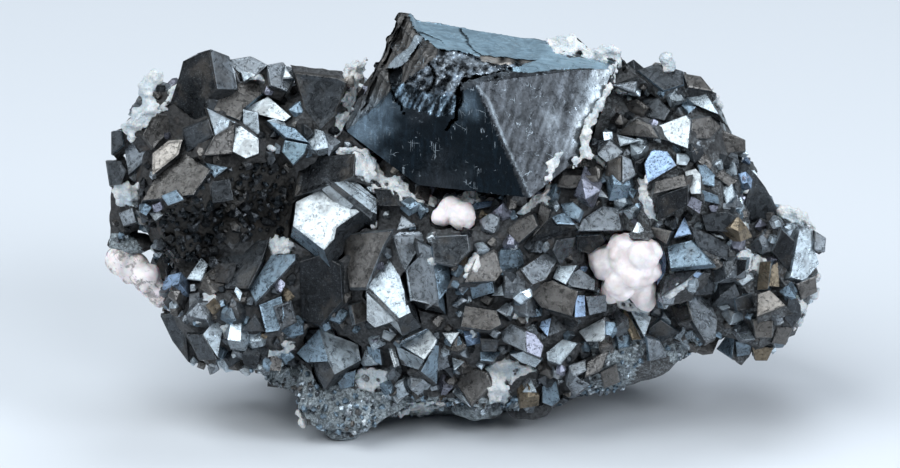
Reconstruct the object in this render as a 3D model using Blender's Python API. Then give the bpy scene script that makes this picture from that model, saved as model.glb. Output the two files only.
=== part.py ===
"""Alabandite specimen: rock crusted with dark crystals, a large crystal on top, quartz and rhodochrosite on it.

Metres, +Z up, the origin at the middle of the underside, and the side that the photograph shows faces -Y.
A pixel is one of the 900 x 468 photograph; seen() turns it into a point at a chosen depth.
"""

import math
import random

import bmesh
import bpy
from mathutils import Matrix, Vector, noise
from mathutils.bvhtree import BVHTree

MM = 0.001
PIXEL = 0.17 * MM  # what one pixel spans at the specimen
MIDDLE_COLUMN = 465  # the pixel column of X = 0
LOWEST_ROW = 443  # the pixel row of the toe, which touches the ground
VIEW_TILT = math.radians(20)  # how far the view looks down
TOE_DEPTH = -12 * MM  # depths count back from a plane through the large crystal, and this is the toe's
MIDDLE_DEPTH = 6.2 * MM  # the depth of Y = 0
GAP = 0.35 * MM  # between neighbouring pieces
LONGEST_SHIFT = 2.5  # at a socket's sharp corners, in gaps
FLAT_ENOUGH = math.radians(0.8)  # neighbouring faces that turn less than this are one face
SEED = 7

# The rock's swellings: pixel of the centre, its depth, and the half sizes along X, Y and Z, in mm
LUMPS = {
    "left lobe": ((213, 168), 4, (15.5, 16, 16)),
    "left foot": ((247, 296), 0, (14.5, 15, 12)),
    "left bridge": ((345, 245), 2, (18, 16, 16)),
    "middle": ((470, 275), 3, (30, 21, 19)),
    "front foot": ((480, 362), -2, (22, 11, 8)),
    "toe": ((346, 398), -7, (9, 9, 7)),
    "right foot": ((600, 335), 1, (17, 14, 9)),
    "right lobe": ((668, 205), 4, (14, 19, 22)),
    "right end": ((756, 277), 4, (11, 14, 13)),
    "crystal's seat": ((487, 165), 14, (27, 14, 21)),
    "left saddle": ((318, 145), 3, (10, 11, 13)),
    "right neck": ((607, 165), 5, (11, 14, 17)),
    "left shelf": ((398, 200), -2, (10, 11, 7)),
    "front shelf": ((470, 228), -7, (15, 11, 6)),
    "right shelf": ((560, 200), -4, (9, 11, 8)),
    "underside": ((452, 350), 14, (29, 18, 12)),
}
HOLLOW = ((235, 228), -14, (10.5, 8, 5.5))  # the dark rough hollow of the left lobe
CORE_VOXEL = 3.2 * MM
CORE_TRIANGLES = 420
CORE_ROUGHNESS = 1.3 * MM
CORE_ROUGH_SIZE = 9 * MM
FINE_ROUGHNESS = 0.6  # of the core's roughness, in bumps that are finer by the next value
FINE_STEP = 2.3

# How a crystal face is turned to the right and tipped upward, in degrees
FACINGS = {
    "viewer": (0, 20),
    "light": (-20, 40),
    "up": (5, 52),
    "left": (-38, 18),
    "right": (38, 18),
    "up left": (-36, 42),
    "up right": (34, 42),
    "down": (0, -8),
    "low left": (-32, -4),
    "low right": (32, -4),
}
FACE_SPREAD = 6  # each face leans this many degrees more or less than its word says
FACE_PROUD = 2.2 * MM  # how far a face stands out from the rock
LONE_PROUD = 3.3 * MM  # the same for a crystal with a socket of its own
OCTAHEDRON_FLARE = 0.354  # how much wider an octahedron's sides grow for each unit of depth
WAIST = (1.2 * MM, 0.6, 4 * MM)  # how deep a crystal widens: at least, more for each unit of reach, and at most
ROOT = (1.0 * MM, 1.1)  # how much deeper its root goes, and more for each unit of reach
ROOT_SCALE = 0.35  # the root's size against the face's
VIEWER_DEPTH = -200 * MM  # where lines of sight start

# Crystal faces that the photograph shows on the crust: the way each faces, and the pixels of its corners
CRUST_FACES = {
    "brown ledge": ("up", [(209, 100), (232, 86), (255, 79), (271, 88), (245, 109), (241, 121), (212, 110)]),
    "white step": ("light", [(244, 109), (269, 97), (292, 117), (285, 122), (259, 115)]),
    "white low step": ("light", [(237, 123), (260, 139), (260, 154), (247, 159), (234, 152)]),
    "pale triangle": ("light", [(209, 109), (237, 123), (217, 137)]),
    "blue block": ("viewer", [(286, 141), (308, 145), (305, 154), (294, 165), (283, 152)]),
    "rough block": ("viewer", [(296, 74), (337, 79), (347, 84), (334, 117), (321, 130), (306, 110)]),
    "dark gable left": ("low left", [(184, 130), (210, 120), (215, 137), (187, 154)]),
    "dark gable right": ("right", [(216, 137), (236, 125), (234, 154), (206, 156)]),
    "olive plate": ("up left", [(144, 201), (156, 180), (187, 154), (212, 170), (195, 195)]),
    "warm plate": ("light", [(154, 154), (170, 141), (184, 140), (180, 155), (154, 176)]),
    "small pyramid": ("right", [(155, 115), (169, 116), (171, 131), (155, 149), (145, 136)]),
    "lilac plate": ("left", [(124, 139), (143, 140), (151, 156), (129, 175)]),
    "left edge plate": ("left", [(112, 132), (122, 131), (124, 145), (112, 155)]),
    "left edge block": ("left", [(106, 161), (121, 161), (127, 171), (122, 184), (110, 186)]),
    "left rim": ("low left", [(110, 190), (128, 188), (136, 214), (120, 240), (108, 240)]),
    "top left corner": ("up left", [(226, 61), (251, 57), (268, 66), (255, 78), (240, 73)]),
    "top notch": ("up right", [(268, 66), (284, 63), (296, 78), (288, 92), (272, 86)]),
    "dark roof": ("up left", [(301, 159), (355, 154), (354, 177), (335, 184), (295, 197)]),
    "black wedge": ("left", [(374, 189), (390, 190), (399, 206), (380, 206)]),
    "brown column": ("left", [(342, 235), (392, 231), (384, 245), (367, 287), (350, 287)]),
    "brown roof": ("up right", [(392, 232), (430, 231), (406, 269), (400, 256)]),
    "dark wall": ("low left", [(300, 262), (322, 255), (341, 265), (343, 300), (321, 325), (302, 318)]),
    "round grey": ("viewer", [(432, 237), (467, 235), (469, 250), (455, 266), (435, 262)]),
    "lined plate": ("right", [(475, 259), (494, 249), (510, 262), (495, 281), (465, 282)]),
    "leaning plate": ("up right", [(520, 269), (552, 247), (557, 260), (545, 279), (532, 284)]),
    "black ledge": ("down", [(550, 217), (567, 217), (577, 229), (545, 240), (530, 242)]),
    "grey plate right": ("viewer", [(581, 220), (602, 206), (617, 209), (620, 230), (577, 231)]),
    "roof band": ("viewer", [(556, 187), (561, 175), (595, 176), (597, 182), (570, 189)]),
    "brown plate": ("viewer", [(525, 286), (552, 280), (577, 291), (571, 316), (541, 307)]),
    "dark tab": ("low right", [(556, 240), (575, 237), (571, 252), (560, 265), (552, 250)]),
    "red-black box": ("down", [(576, 237), (600, 235), (604, 242), (589, 254), (576, 250)]),
    "speckled tab": ("viewer", [(570, 274), (579, 269), (594, 280), (594, 290), (567, 286)]),
    "grey upright": ("low right", [(585, 296), (607, 295), (606, 311), (589, 315)]),
    "brown box": ("viewer", [(465, 305), (496, 310), (501, 324), (489, 330), (461, 326)]),
    "brown kite": ("left", [(464, 364), (487, 372), (491, 385), (471, 405), (457, 384)]),
    "octahedron left": ("left", [(501, 331), (510, 324), (525, 331), (525, 351), (501, 340)]),
    "octahedron right": ("right", [(525, 330), (535, 334), (543, 345), (540, 357), (526, 351)]),
    "bright hexagon": ("light", [(546, 352), (562, 339), (577, 343), (560, 364), (547, 360)]),
    "brown lozenge": ("right", [(587, 362), (604, 350), (609, 351), (601, 370), (585, 377)]),
    "white star": ("light", [(604, 317), (604, 341), (586, 341), (578, 331)]),
    "blue-grey foot": ("viewer", [(542, 386), (556, 381), (560, 400), (552, 406), (542, 402)]),
    "bright kite": ("light", [(400, 344), (429, 329), (437, 339), (435, 345), (424, 359)]),
    "pale kite side": ("right", [(435, 345), (439, 345), (437, 384), (421, 371)]),
    "grey kite foot": ("down", [(396, 345), (424, 360), (421, 370), (401, 364)]),
    "long plate": ("up left", [(272, 255), (296, 254), (296, 260), (257, 302), (250, 289)]),
    "long plate foot": ("viewer", [(260, 305), (282, 296), (285, 315), (280, 330), (267, 332)]),
    "dark blue gable": ("low left", [(187, 334), (204, 334), (218, 359), (200, 360)]),
    "grey gable": ("up right", [(204, 334), (212, 324), (225, 320), (219, 357)]),
    "left foot rim": ("low left", [(160, 316), (175, 312), (186, 334), (188, 362), (172, 341)]),
    "dark sail": ("up left", [(602, 54), (609, 50), (637, 77), (614, 85), (612, 67)]),
    "blue-black roof": ("up", [(637, 71), (656, 64), (682, 72), (682, 85), (662, 91)]),
    "right roof": ("up right", [(682, 74), (700, 77), (712, 92), (687, 88)]),
    "pale blue blade": ("light", [(687, 90), (702, 88), (718, 115), (710, 112), (684, 101)]),
    "white flag": ("light", [(684, 116), (689, 121), (686, 149), (660, 139), (655, 127)]),
    "brown flag": ("left", [(635, 119), (650, 126), (657, 139), (616, 135)]),
    "brown corner": ("right", [(690, 120), (709, 117), (720, 127), (709, 139), (689, 139)]),
    "right ledge": ("up right", [(722, 130), (745, 140), (745, 151), (702, 155)]),
    "bright blue plate": ("light", [(651, 150), (666, 152), (675, 166), (646, 184), (643, 164)]),
    "white speckled plate": ("light", [(683, 172), (694, 169), (699, 175), (699, 194), (689, 194)]),
    "tent left": ("left", [(606, 162), (620, 156), (620, 186), (604, 177)]),
    "box top": ("up", [(652, 194), (654, 182), (682, 175), (685, 186)]),
    "box front": ("down", [(655, 197), (686, 187), (686, 205), (659, 219)]),
    "dark plank": ("right", [(690, 227), (710, 235), (727, 245), (726, 260), (696, 247)]),
    "dark shelf": ("down", [(666, 257), (696, 250), (715, 264), (669, 271)]),
    "dark lintel": ("viewer", [(700, 215), (725, 212), (735, 217), (734, 232), (705, 231)]),
    "black lozenge": ("low right", [(781, 230), (794, 242), (789, 272), (772, 252)]),
    "far right tip": ("right", [(815, 231), (826, 238), (825, 252), (814, 250)]),
    "far right foot": ("low right", [(796, 284), (815, 276), (817, 292), (801, 300)]),
    "dark fin": ("up left", [(665, 274), (696, 270), (684, 281), (659, 297)]),
    "dark sliver": ("left", [(682, 287), (692, 320), (677, 324), (669, 305)]),
    "big grey plate": ("right", [(685, 290), (709, 300), (717, 319), (715, 337), (705, 342), (692, 321)]),
    "pale pyramid": ("light", [(757, 294), (769, 290), (784, 305), (756, 316)]),
    "dark end": ("low right", [(789, 291), (800, 305), (801, 316), (792, 328), (784, 318)]),
    "end block": ("viewer", [(750, 319), (771, 320), (770, 336), (756, 336)]),
    "end low block": ("low right", [(777, 326), (793, 328), (786, 345), (772, 343)]),
    "gold foot": ("down", [(752, 346), (774, 348), (768, 361), (756, 361)]),
    "right gem left": ("left", [(732, 329), (735, 340), (732, 359), (717, 349)]),
    "foot corner": ("low right", [(646, 337), (660, 341), (667, 357), (649, 361)]),
}

# Crystals that stand in sockets of their own: the faces of each, as above
LONE_CRYSTALS = {
    "dark_crystal": [
        ("left", [(184, 62), (212, 50), (219, 90), (209, 99), (210, 119), (187, 127), (169, 110), (180, 77)]),
        ("right", [(212, 52), (226, 62), (238, 74), (219, 90)]),
    ],
    "hexagonal_crystal": [
        ("light", [(297, 202), (328, 187), (360, 212), (337, 228), (335, 239), (325, 250), (294, 226)]),
        ("up right", [(335, 183), (352, 178), (377, 199), (377, 214), (355, 204)]),
    ],
    "blade_crystal": [
        ("light", [(385, 244), (404, 261), (400, 275), (411, 312), (397, 319), (367, 289)]),
        ("low left", [(367, 292), (396, 320), (375, 327), (367, 320)]),
    ],
    "plate_crystal": [
        ("viewer", [(406, 269), (431, 246), (435, 265), (439, 306), (410, 299)]),
        ("right", [(431, 246), (449, 267), (451, 285), (439, 300)]),
    ],
    "pyramid_crystal": [
        ("left", [(319, 329), (329, 361), (307, 362), (297, 353)]),
        ("up right", [(319, 329), (358, 344), (361, 360), (335, 374), (329, 361)]),
    ],
    "side_crystal": [
        ("low right", [(755, 174), (765, 187), (781, 215), (782, 225), (772, 244), (739, 235), (749, 182)]),
    ],
}

# The large crystal: the three points on each of its faces, as pixel column, row and depth in mm
LARGE_PLANES = {
    "dark front": [(347, 130, -7), (475, 88, -17), (529, 197, -21)],
    "right": [(475, 88, -17), (529, 197, -21), (611, 76, -5)],
    "shoulder": [(439, 51, -13), (567, 60, -6), (475, 86, -17)],
    "left": [(397, 14, 3), (344, 133, -6), (391, 91, -12)],
    "left back": [(397, 14, 3), (342, 135, -5), (420, 90, 18)],
    "back": [(412, 13, 4), (546, 41, 8), (480, 130, 19)],
    "right back": [(611, 71, -4), (583, 150, -11), (600, 110, 14)],
    "right top": [(546, 41, 8), (613, 69, -3), (570, 60, -5)],
    "under left": [(345, 131, -6.8), (418, 186, -12.4), (395, 150, 4)],
    "under front": [(418, 186, -12.4), (529, 199, -21), (470, 168, 0)],
    "under right": [(529, 199, -21), (583, 152, -11), (560, 150, 4)],
}
LARGE_BOTTOM = 33 * MM
LARGE_MIDDLE = (480, 120, 2)  # pixel and depth in mm of a point inside it
BLOCK_SIZE = 160 * MM  # of the cube that the planes cut down
# The dished top of the large crystal: pixels along its back edge and its front edge, from left to right
TOP_BACK_EDGE = [(392, 6), (412, 13), (460, 29), (506, 39), (546, 41), (650, 52)]
TOP_FRONT_EDGE = [(400, 28), (417, 35), (439, 51), (480, 57), (535, 62), (650, 72)]
TOP_BACK_DEPTH = 5 * MM
TOP_FRONT_DEPTHS = (-13 * MM, -3 * MM)  # at the left and the right end
TOP_CUT_OVERRUN = (0.6, 0.9)  # how far the cut runs on past the front and the back edge, in widths of the top
TOP_CUT_HEIGHT = 30 * MM
# The black crevice in the large crystal: pixels along it, its half width and its reach
CREVICE = [(452, 128), (460, 105), (474, 80), (512, 72)]
CREVICE_WIDTH = 1.1 * MM
CREVICE_REACH = 4 * MM
CREVICE_MOUTH = 1.5 * MM  # how far the cut starts in front of the surface
LEDGES = [((376, 92), 5.0), ((392, 66), 3.6), ((401, 40), 2.6)]  # steps on its left: pixel and height in mm
LEDGE_LENGTH = 40 * MM
LEDGE_CUT = 2.4 * MM
LEDGE_SLANT = math.radians(9)

# Bubbly masses and rinds: for each bead its pixel, its radius in mm and, where it isn't on the surface,
# its depth in mm
BEADS = {
    "rhodochrosite_cluster": [
        (607, 262, 3.4), (624, 253, 3.6), (641, 256, 3.3), (633, 270, 3.8), (647, 270, 2.6),
        (622, 283, 2.9), (640, 288, 2.9), (645, 301, 2.0), (612, 287, 2.0), (596, 256, 2.0),
    ],
    "rhodochrosite_lump": [(120, 260, 2.7), (133, 267, 3.0), (147, 277, 2.8), (154, 289, 2.4)],
    "rhodochrosite_knob": [(441, 217, 1.9), (452, 214, 2.2), (463, 218, 2.2)],
    "quartz_rind": [
        (556, 46, 2.0, 6), (569, 45, 2.3, 5), (582, 51, 2.2, 4), (595, 54, 2.3, 3), (608, 55, 2.4, 2),
        (616, 63, 2.0, 1),
    ],
    "quartz_rind_left": [(356, 69, 2.4, 1), (349, 84, 2.5, 1), (347, 102, 2.4, 0), (341, 120, 2.4, -2)],
    "quartz_patch": [
        (158, 78, 2.3, -4), (148, 89, 2.5, -4), (151, 104, 2.4, -6), (140, 116, 2.4, -6), (131, 127, 2.2, -5),
    ],
    "quartz_vein": [
        (605, 92, 1.7, -6), (598, 106, 1.8, -8), (590, 120, 1.8, -10), (585, 136, 1.8, -12),
        (586, 152, 1.8, -13),
        (573, 162, 1.8, -15), (558, 167, 1.9, -17), (549, 180, 1.8, -19),
    ],
    "quartz_tip": [(665, 60, 1.6), (669, 67, 1.5)],
    "quartz_end": [(783, 213, 2.0, 0), (795, 216, 2.3, 0), (808, 218, 2.0, 1)],
}
BEAD_SINK = 0.45  # how far beads on the surface stand out, in radii
BEAD_SEGMENTS = (6, 8)  # the sides of a small bead and of a large one
LARGE_BEAD = 2.55 * MM  # the size from which a bead has more sides
PALE_PLATE = ("right", [(799, 231), (812, 227), (815, 250), (819, 264), (804, 281), (790, 277)])

# The specimen's outline in the photograph, clockwise from the left
OUTLINE = [
    (106, 161), (112, 132), (132, 105), (150, 72), (184, 62), (212, 50), (270, 65), (340, 78), (371, 57),
    (397, 14),
    (412, 13), (460, 29), (546, 41), (572, 37), (625, 53), (666, 54), (700, 77), (720, 105), (745, 140),
    (765, 187),
    (800, 209), (815, 231), (826, 238), (817, 280), (806, 310), (784, 349), (769, 361), (656, 357), (630, 372),
    (614, 397), (570, 399), (530, 419), (497, 410), (479, 421), (446, 410), (405, 419), (344, 444), (302, 410),
    (282, 390), (186, 364), (159, 317), (161, 300), (115, 265), (108, 245), (110, 186),
]

# The rest of the crust, scattered over what the photograph hides or shows no clear face on
SCATTER_TRIES = 6000
SCATTER_SPACING = (7.6 * MM, 12 * MM)  # between crystals in front, and between those at the back and below
SCATTER_SIZE = (3.4 * MM, 6.2 * MM)  # the half sizes there
SCATTER_SPREAD = (0.75, 1.2)  # the least and the most of those sizes
SCATTER_LIFT = (0.05, 0.35)  # how far a crystal's middle stands out of the rock, in its sizes
SQUEEZE = (0.85, 1.2)  # along each axis of an octahedron
BLUNT_SHARE = 0.45  # of their tips are cut off
BLUNT_AT = (0.55, 0.9)  # of the way to the tip
TURNED_AWAY = -0.15  # a surface whose normal points along the line of sight by more than this is at the side or back
OUTLINE_MARGIN = 0.7  # a crystal's middle stays inside the outline by this share of its size
LONE_REACH = 3.5 * MM  # kept free round each face of a crystal with a socket of its own
BARE_BELOW = 2.5 * MM  # no crystal grows this near the ground

MATERIALS = {  # base colour, roughness and metallic value
    "alabandite": ((0.045, 0.043, 0.045), 0.38, 0.45),
    "alabandite_crust": ((0.06, 0.056, 0.055), 0.5, 0.35),
    "rhodochrosite": ((0.86, 0.68, 0.66), 0.5, 0.0),
    "quartz": ((0.80, 0.81, 0.80), 0.45, 0.0),
}


def seen(column, row, depth):
    """The point at a depth, in metres, on the line of sight through a pixel."""
    height = ((LOWEST_ROW - row) * PIXEL - (depth - TOE_DEPTH) * math.sin(VIEW_TILT)) / math.cos(VIEW_TILT)
    return Vector(((column - MIDDLE_COLUMN) * PIXEL, depth - MIDDLE_DEPTH, height))


SIGHT = Vector((0, math.cos(VIEW_TILT), -math.sin(VIEW_TILT)))  # the way the viewer looks


def clear_scene():
    for thing in list(bpy.data.objects):
        bpy.data.objects.remove(thing, do_unlink=True)


def material(name):
    colour, roughness, metallic = MATERIALS[name]
    made = bpy.data.materials.get(name) or bpy.data.materials.new(name)
    made.use_nodes = True
    shader = made.node_tree.nodes["Principled BSDF"]
    shader.inputs["Base Color"].default_value = (*colour, 1)
    shader.inputs["Roughness"].default_value = roughness
    shader.inputs["Metallic"].default_value = metallic
    return made


def take_mesh(bm):
    """Turns what was modelled into a mesh whose faces point outward."""
    bmesh.ops.recalc_face_normals(bm, faces=bm.faces)
    mesh = bpy.data.meshes.new("shell")
    bm.to_mesh(mesh)
    bm.free()
    return mesh


def new_object(name, mesh):
    made = bpy.data.objects.new(name, mesh)
    bpy.context.scene.collection.objects.link(made)
    return made


def bmesh_of(thing):
    bm = bmesh.new()
    bm.from_mesh(thing.data)
    return bm


def apply_modifiers(thing):
    """Puts the evaluated mesh in place of the object's own."""
    bpy.context.view_layer.update()
    evaluated = thing.evaluated_get(bpy.context.evaluated_depsgraph_get())
    old = thing.data
    thing.data = bpy.data.meshes.new_from_object(evaluated)
    thing.modifiers.clear()
    bpy.data.meshes.remove(old)


def is_closed(thing):
    bm = bmesh_of(thing)
    closed = bool(bm.edges) and all(len(edge.link_faces) == 2 for edge in bm.edges)
    bm.free()
    return closed


def combine(thing, other, operation):
    """Boolean of two closed objects, after which the second is removed."""
    other.hide_render = True
    other.display_type = "WIRE"
    before = thing.data.copy()
    for solver in ("EXACT", "MANIFOLD"):
        step = thing.modifiers.new(operation.lower(), "BOOLEAN")
        step.operation = operation
        step.solver = solver
        step.object = other
        apply_modifiers(thing)
        if is_closed(thing):
            break
        thing.data = before.copy()
    bpy.data.objects.remove(other, do_unlink=True)


def in_batches(shells):
    """Sorts shells into batches whose shells stay clear of each other."""
    batches = []
    for shell in shells:
        centre = sum((vertex.co for vertex in shell.vertices), Vector()) / len(shell.vertices)
        radius = max((vertex.co - centre).length for vertex in shell.vertices)
        for batch in batches:
            if all((centre - other).length > radius + reach for _, other, reach in batch):
                batch.append((shell, centre, radius))
                break
        else:
            batches.append([(shell, centre, radius)])
    return [[shell for shell, _, _ in batch] for batch in batches]


def apply_shells(thing, shells, operation):
    """Adds convex shells to a piece, or cuts them out of it."""
    for batch in in_batches(shells):
        bm = bmesh.new()
        for shell in batch:
            bm.from_mesh(shell)
        combine(thing, new_object("batch", take_mesh(bm)), operation)


def join_shells(name, shells, material_name):
    made = new_object(name, shells[0].copy())
    made.data.materials.append(material(material_name))
    apply_shells(made, shells[1:], "UNION")
    keep_largest_body(made)
    return made


def grown(shell):
    """A copy of a convex shell with its surface moved out by the gap."""
    bm = bmesh.new()
    bm.from_mesh(shell)
    shifts = [vertex.normal * min(vertex.calc_shell_factor(), LONGEST_SHIFT) * GAP for vertex in bm.verts]
    for vertex, shift in zip(bm.verts, shifts):
        vertex.co += shift
    return take_mesh(bm)


def ellipsoid(bm, centre, half_sizes, segments=16):
    matrix = Matrix.Translation(centre) @ Matrix.Diagonal((*half_sizes, 1))
    bmesh.ops.create_uvsphere(bm, u_segments=segments, v_segments=segments // 2, radius=1, matrix=matrix)


def lump_place(pixel, depth, half_sizes):
    """The centre and half sizes of a lump in metres."""
    return seen(*pixel, depth * MM), [size * MM for size in half_sizes]


def rock_core():
    """The rock without its crystals: lumps run together, roughened, and thinned to broad facets."""
    bm = bmesh.new()
    for pixel, depth, half_sizes in LUMPS.values():
        ellipsoid(bm, *lump_place(pixel, depth, half_sizes))
    core = new_object("core", take_mesh(bm))
    melt = core.modifiers.new("melt", "REMESH")
    melt.mode = "VOXEL"
    melt.voxel_size = CORE_VOXEL
    apply_modifiers(core)
    hollow, half_sizes = lump_place(*HOLLOW)
    for vertex in core.data.vertices:
        offset = vertex.co - hollow
        nearness = Vector([gap / size for gap, size in zip(offset, half_sizes)]).length
        if nearness < 1:
            vertex.co = hollow + offset / nearness
    core.data.update()
    for vertex in core.data.vertices:
        spot = vertex.co / CORE_ROUGH_SIZE
        bump = noise.noise(spot) + FINE_ROUGHNESS * noise.noise(spot * FINE_STEP)
        vertex.co += vertex.normal * bump * CORE_ROUGHNESS
    thin = core.modifiers.new("thin", "DECIMATE")
    thin.ratio = CORE_TRIANGLES / sum(len(face.vertices) - 2 for face in core.data.polygons)
    apply_modifiers(core)
    return core


def surface_tree(*things):
    """What a line of sight is tested against: the surfaces of the given objects."""
    points, faces = [], []
    for thing in things:
        first = len(points)
        points += [vertex.co.copy() for vertex in thing.data.vertices]
        faces += [[first + index for index in face.vertices] for face in thing.data.polygons]
    return BVHTree.FromPolygons(points, faces)


def on_rock(tree, column, row, proud=0.0):
    """The point where the line of sight through a pixel meets the rock, moved toward the viewer."""
    start = seen(column, row, VIEWER_DEPTH)
    hit = tree.ray_cast(start, SIGHT)[0]
    if hit is None:
        hit = tree.find_nearest(seen(column, row, 0))[0]
        hit = seen(column, row, hit.y + MIDDLE_DEPTH)
    return hit - SIGHT * proud


def middle_of(pixels):
    columns, rows = zip(*pixels)
    return sum(columns) / len(columns), sum(rows) / len(rows)


def facing_normal(facing, dice):
    turn, tip = (math.radians(angle + dice.uniform(-FACE_SPREAD, FACE_SPREAD)) for angle in FACINGS[facing])
    return Vector((math.sin(turn) * math.cos(tip), -math.cos(turn) * math.cos(tip), math.sin(tip)))


def faced_crystal(tree, facing, pixels, dice, proud=FACE_PROUD):
    """A crystal with one face on the given pixels: flaring sides, then a narrowing root."""
    anchor = on_rock(tree, *middle_of(pixels), proud)
    normal = facing_normal(facing, dice)
    slope = Vector((0, 1, -math.tan(VIEW_TILT)))
    corners = []
    for column, row in pixels:
        start = seen(column, row, 0)
        corners.append(start + slope * (normal.dot(anchor - start) / normal.dot(slope)))
    centre = sum(corners, Vector()) / len(corners)
    reach = sum((corner - centre).length for corner in corners) / len(corners)
    waist = min(WAIST[0] + WAIST[1] * reach, WAIST[2])
    root = waist + ROOT[0] + ROOT[1] * reach
    bm = bmesh.new()
    rings = []
    for depth, scale in ((0, 1), (waist, 1 + OCTAHEDRON_FLARE * waist / reach), (root, ROOT_SCALE)):
        ring = [bm.verts.new(centre + (corner - centre) * scale - normal * depth) for corner in corners]
        rings.append(ring)
    bm.faces.new(rings[0])
    bm.faces.new(reversed(rings[-1]))
    for upper, lower in zip(rings, rings[1:]):
        for i in range(len(upper)):
            j = (i + 1) % len(upper)
            bm.faces.new((upper[i], lower[i], lower[j], upper[j]))
    return take_mesh(bm), centre, reach


def cut_plane(bm, point, normal):
    """Cuts off what lies beyond a plane and closes the cut."""
    geometry = bm.verts[:] + bm.edges[:] + bm.faces[:]
    result = bmesh.ops.bisect_plane(bm, geom=geometry, plane_co=point, plane_no=normal, clear_outer=True)
    edges = [item for item in result["geom_cut"] if isinstance(item, bmesh.types.BMEdge)]
    if edges:
        bmesh.ops.edgeloop_fill(bm, edges=edges)


def octahedron(place, normal, size, dice):
    """A blunt octahedron on the rock, its axes squeezed a little and some tips cut off."""
    single = bmesh.new()
    bmesh.ops.create_uvsphere(single, u_segments=4, v_segments=2, radius=1)
    squeeze = Matrix.Diagonal((*[dice.uniform(*SQUEEZE) for _ in range(3)], 1))
    bmesh.ops.transform(single, matrix=squeeze, verts=single.verts)
    for axis in ((1, 0, 0), (-1, 0, 0), (0, 1, 0), (0, 0, 1)):
        if dice.random() < BLUNT_SHARE:
            direction = Vector(axis)
            cut_plane(single, direction * dice.uniform(*BLUNT_AT), direction)
    turn = dice.uniform(0, math.tau)
    axis = Vector([dice.gauss(0, 1) for _ in range(3)]).normalized()
    spin = Matrix.Rotation(turn, 4, axis)
    centre = place + normal * size * dice.uniform(*SCATTER_LIFT)
    place = Matrix.Translation(centre) @ spin @ Matrix.Scale(size, 4)
    bmesh.ops.transform(single, matrix=place, verts=single.verts)
    return take_mesh(single)


def inside_outline(place, margin):
    """Whether a point, seen from the front, lies inside the specimen's outline by a margin."""
    rise = place.z * math.cos(VIEW_TILT) + (place.y + MIDDLE_DEPTH - TOE_DEPTH) * math.sin(VIEW_TILT)
    spot = Vector((place.x / PIXEL + MIDDLE_COLUMN, LOWEST_ROW - rise / PIXEL))
    inside = False
    for start, end in zip(OUTLINE, OUTLINE[1:] + OUTLINE[:1]):
        start, end = Vector(start), Vector(end)
        along = end - start
        share = min(max((spot - start).dot(along) / along.length_squared, 0), 1)
        if (start + along * share - spot).length < margin / PIXEL:
            return False
        if (start.y > spot.y) != (end.y > spot.y):
            inside ^= spot.x < start.x + (spot.y - start.y) / (end.y - start.y) * along.x
    return inside


def random_points(core, dice):
    """Random points spread evenly over the rock's surface, with their normals."""
    mesh = core.data
    mesh.calc_loop_triangles()
    triangles = [[mesh.vertices[i].co.copy() for i in triangle.vertices] for triangle in mesh.loop_triangles]
    areas = [triangle.area for triangle in mesh.loop_triangles]
    normals = [triangle.normal.copy() for triangle in mesh.loop_triangles]
    for index in dice.choices(range(len(triangles)), weights=areas, k=SCATTER_TRIES):
        u, v = dice.random(), dice.random()
        if u + v > 1:
            u, v = 1 - u, 1 - v
        a, b, c = triangles[index]
        yield a + (b - a) * u + (c - a) * v, normals[index]


def scattered_crystals(core, taken, dice):
    """Crystals that fill the crust between those that are already there."""
    shells = []
    for place, normal in random_points(core, dice):
        hidden = normal.dot(SIGHT) > TURNED_AWAY
        spacing = SCATTER_SPACING[hidden]
        size = SCATTER_SIZE[hidden] * dice.uniform(*SCATTER_SPREAD)
        if place.z < BARE_BELOW + size or not inside_outline(place, OUTLINE_MARGIN * size):
            continue
        if all((place - other).length > max(spacing, reach) for other, reach in taken):
            shells.append(octahedron(place, normal, size, dice))
            taken.append((place, spacing))
    return shells


def keep_largest_body(thing):
    """Drops chips that the cuts left loose."""
    bm = bmesh_of(thing)
    unseen = set(bm.verts)
    bodies = []
    while unseen:
        queue = [unseen.pop()]
        body = set(queue)
        while queue:
            for edge in queue.pop().link_edges:
                for vertex in edge.verts:
                    if vertex in unseen:
                        unseen.discard(vertex)
                        body.add(vertex)
                        queue.append(vertex)
        bodies.append(body)
    bodies.sort(key=len)
    for body in bodies[:-1]:
        bmesh.ops.delete(bm, geom=list(body), context="VERTS")
    bm.to_mesh(thing.data)
    bm.free()


def flatten_faces(thing):
    """Runs together the faces that lie in one plane, where that leaves the piece closed, and leaves triangles."""
    before = thing.data.copy()
    for angle in (FLAT_ENOUGH, 0):
        bm = bmesh.new()
        bm.from_mesh(before)
        if angle:
            bmesh.ops.dissolve_limit(bm, angle_limit=angle, verts=bm.verts, edges=bm.edges)
        bmesh.ops.triangulate(bm, faces=bm.faces)
        bm.to_mesh(thing.data)
        bm.free()
        if is_closed(thing):
            break


def lone_crystal(name, faces, tree, dice):
    shells = [faced_crystal(tree, facing, pixels, dice, LONE_PROUD)[0] for facing, pixels in faces]
    return join_shells(name, shells, "alabandite"), shells


def plane_of(points):
    """A point and the normal of the plane through three points, pointing away from the large crystal's middle."""
    a, b, c = (seen(column, row, depth * MM) for column, row, depth in points)
    normal = (b - a).cross(c - a).normalized()
    column, row, depth = LARGE_MIDDLE
    inside = seen(column, row, depth * MM)
    if normal.dot(inside - a) > 0:
        normal = -normal
    return a, normal


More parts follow.
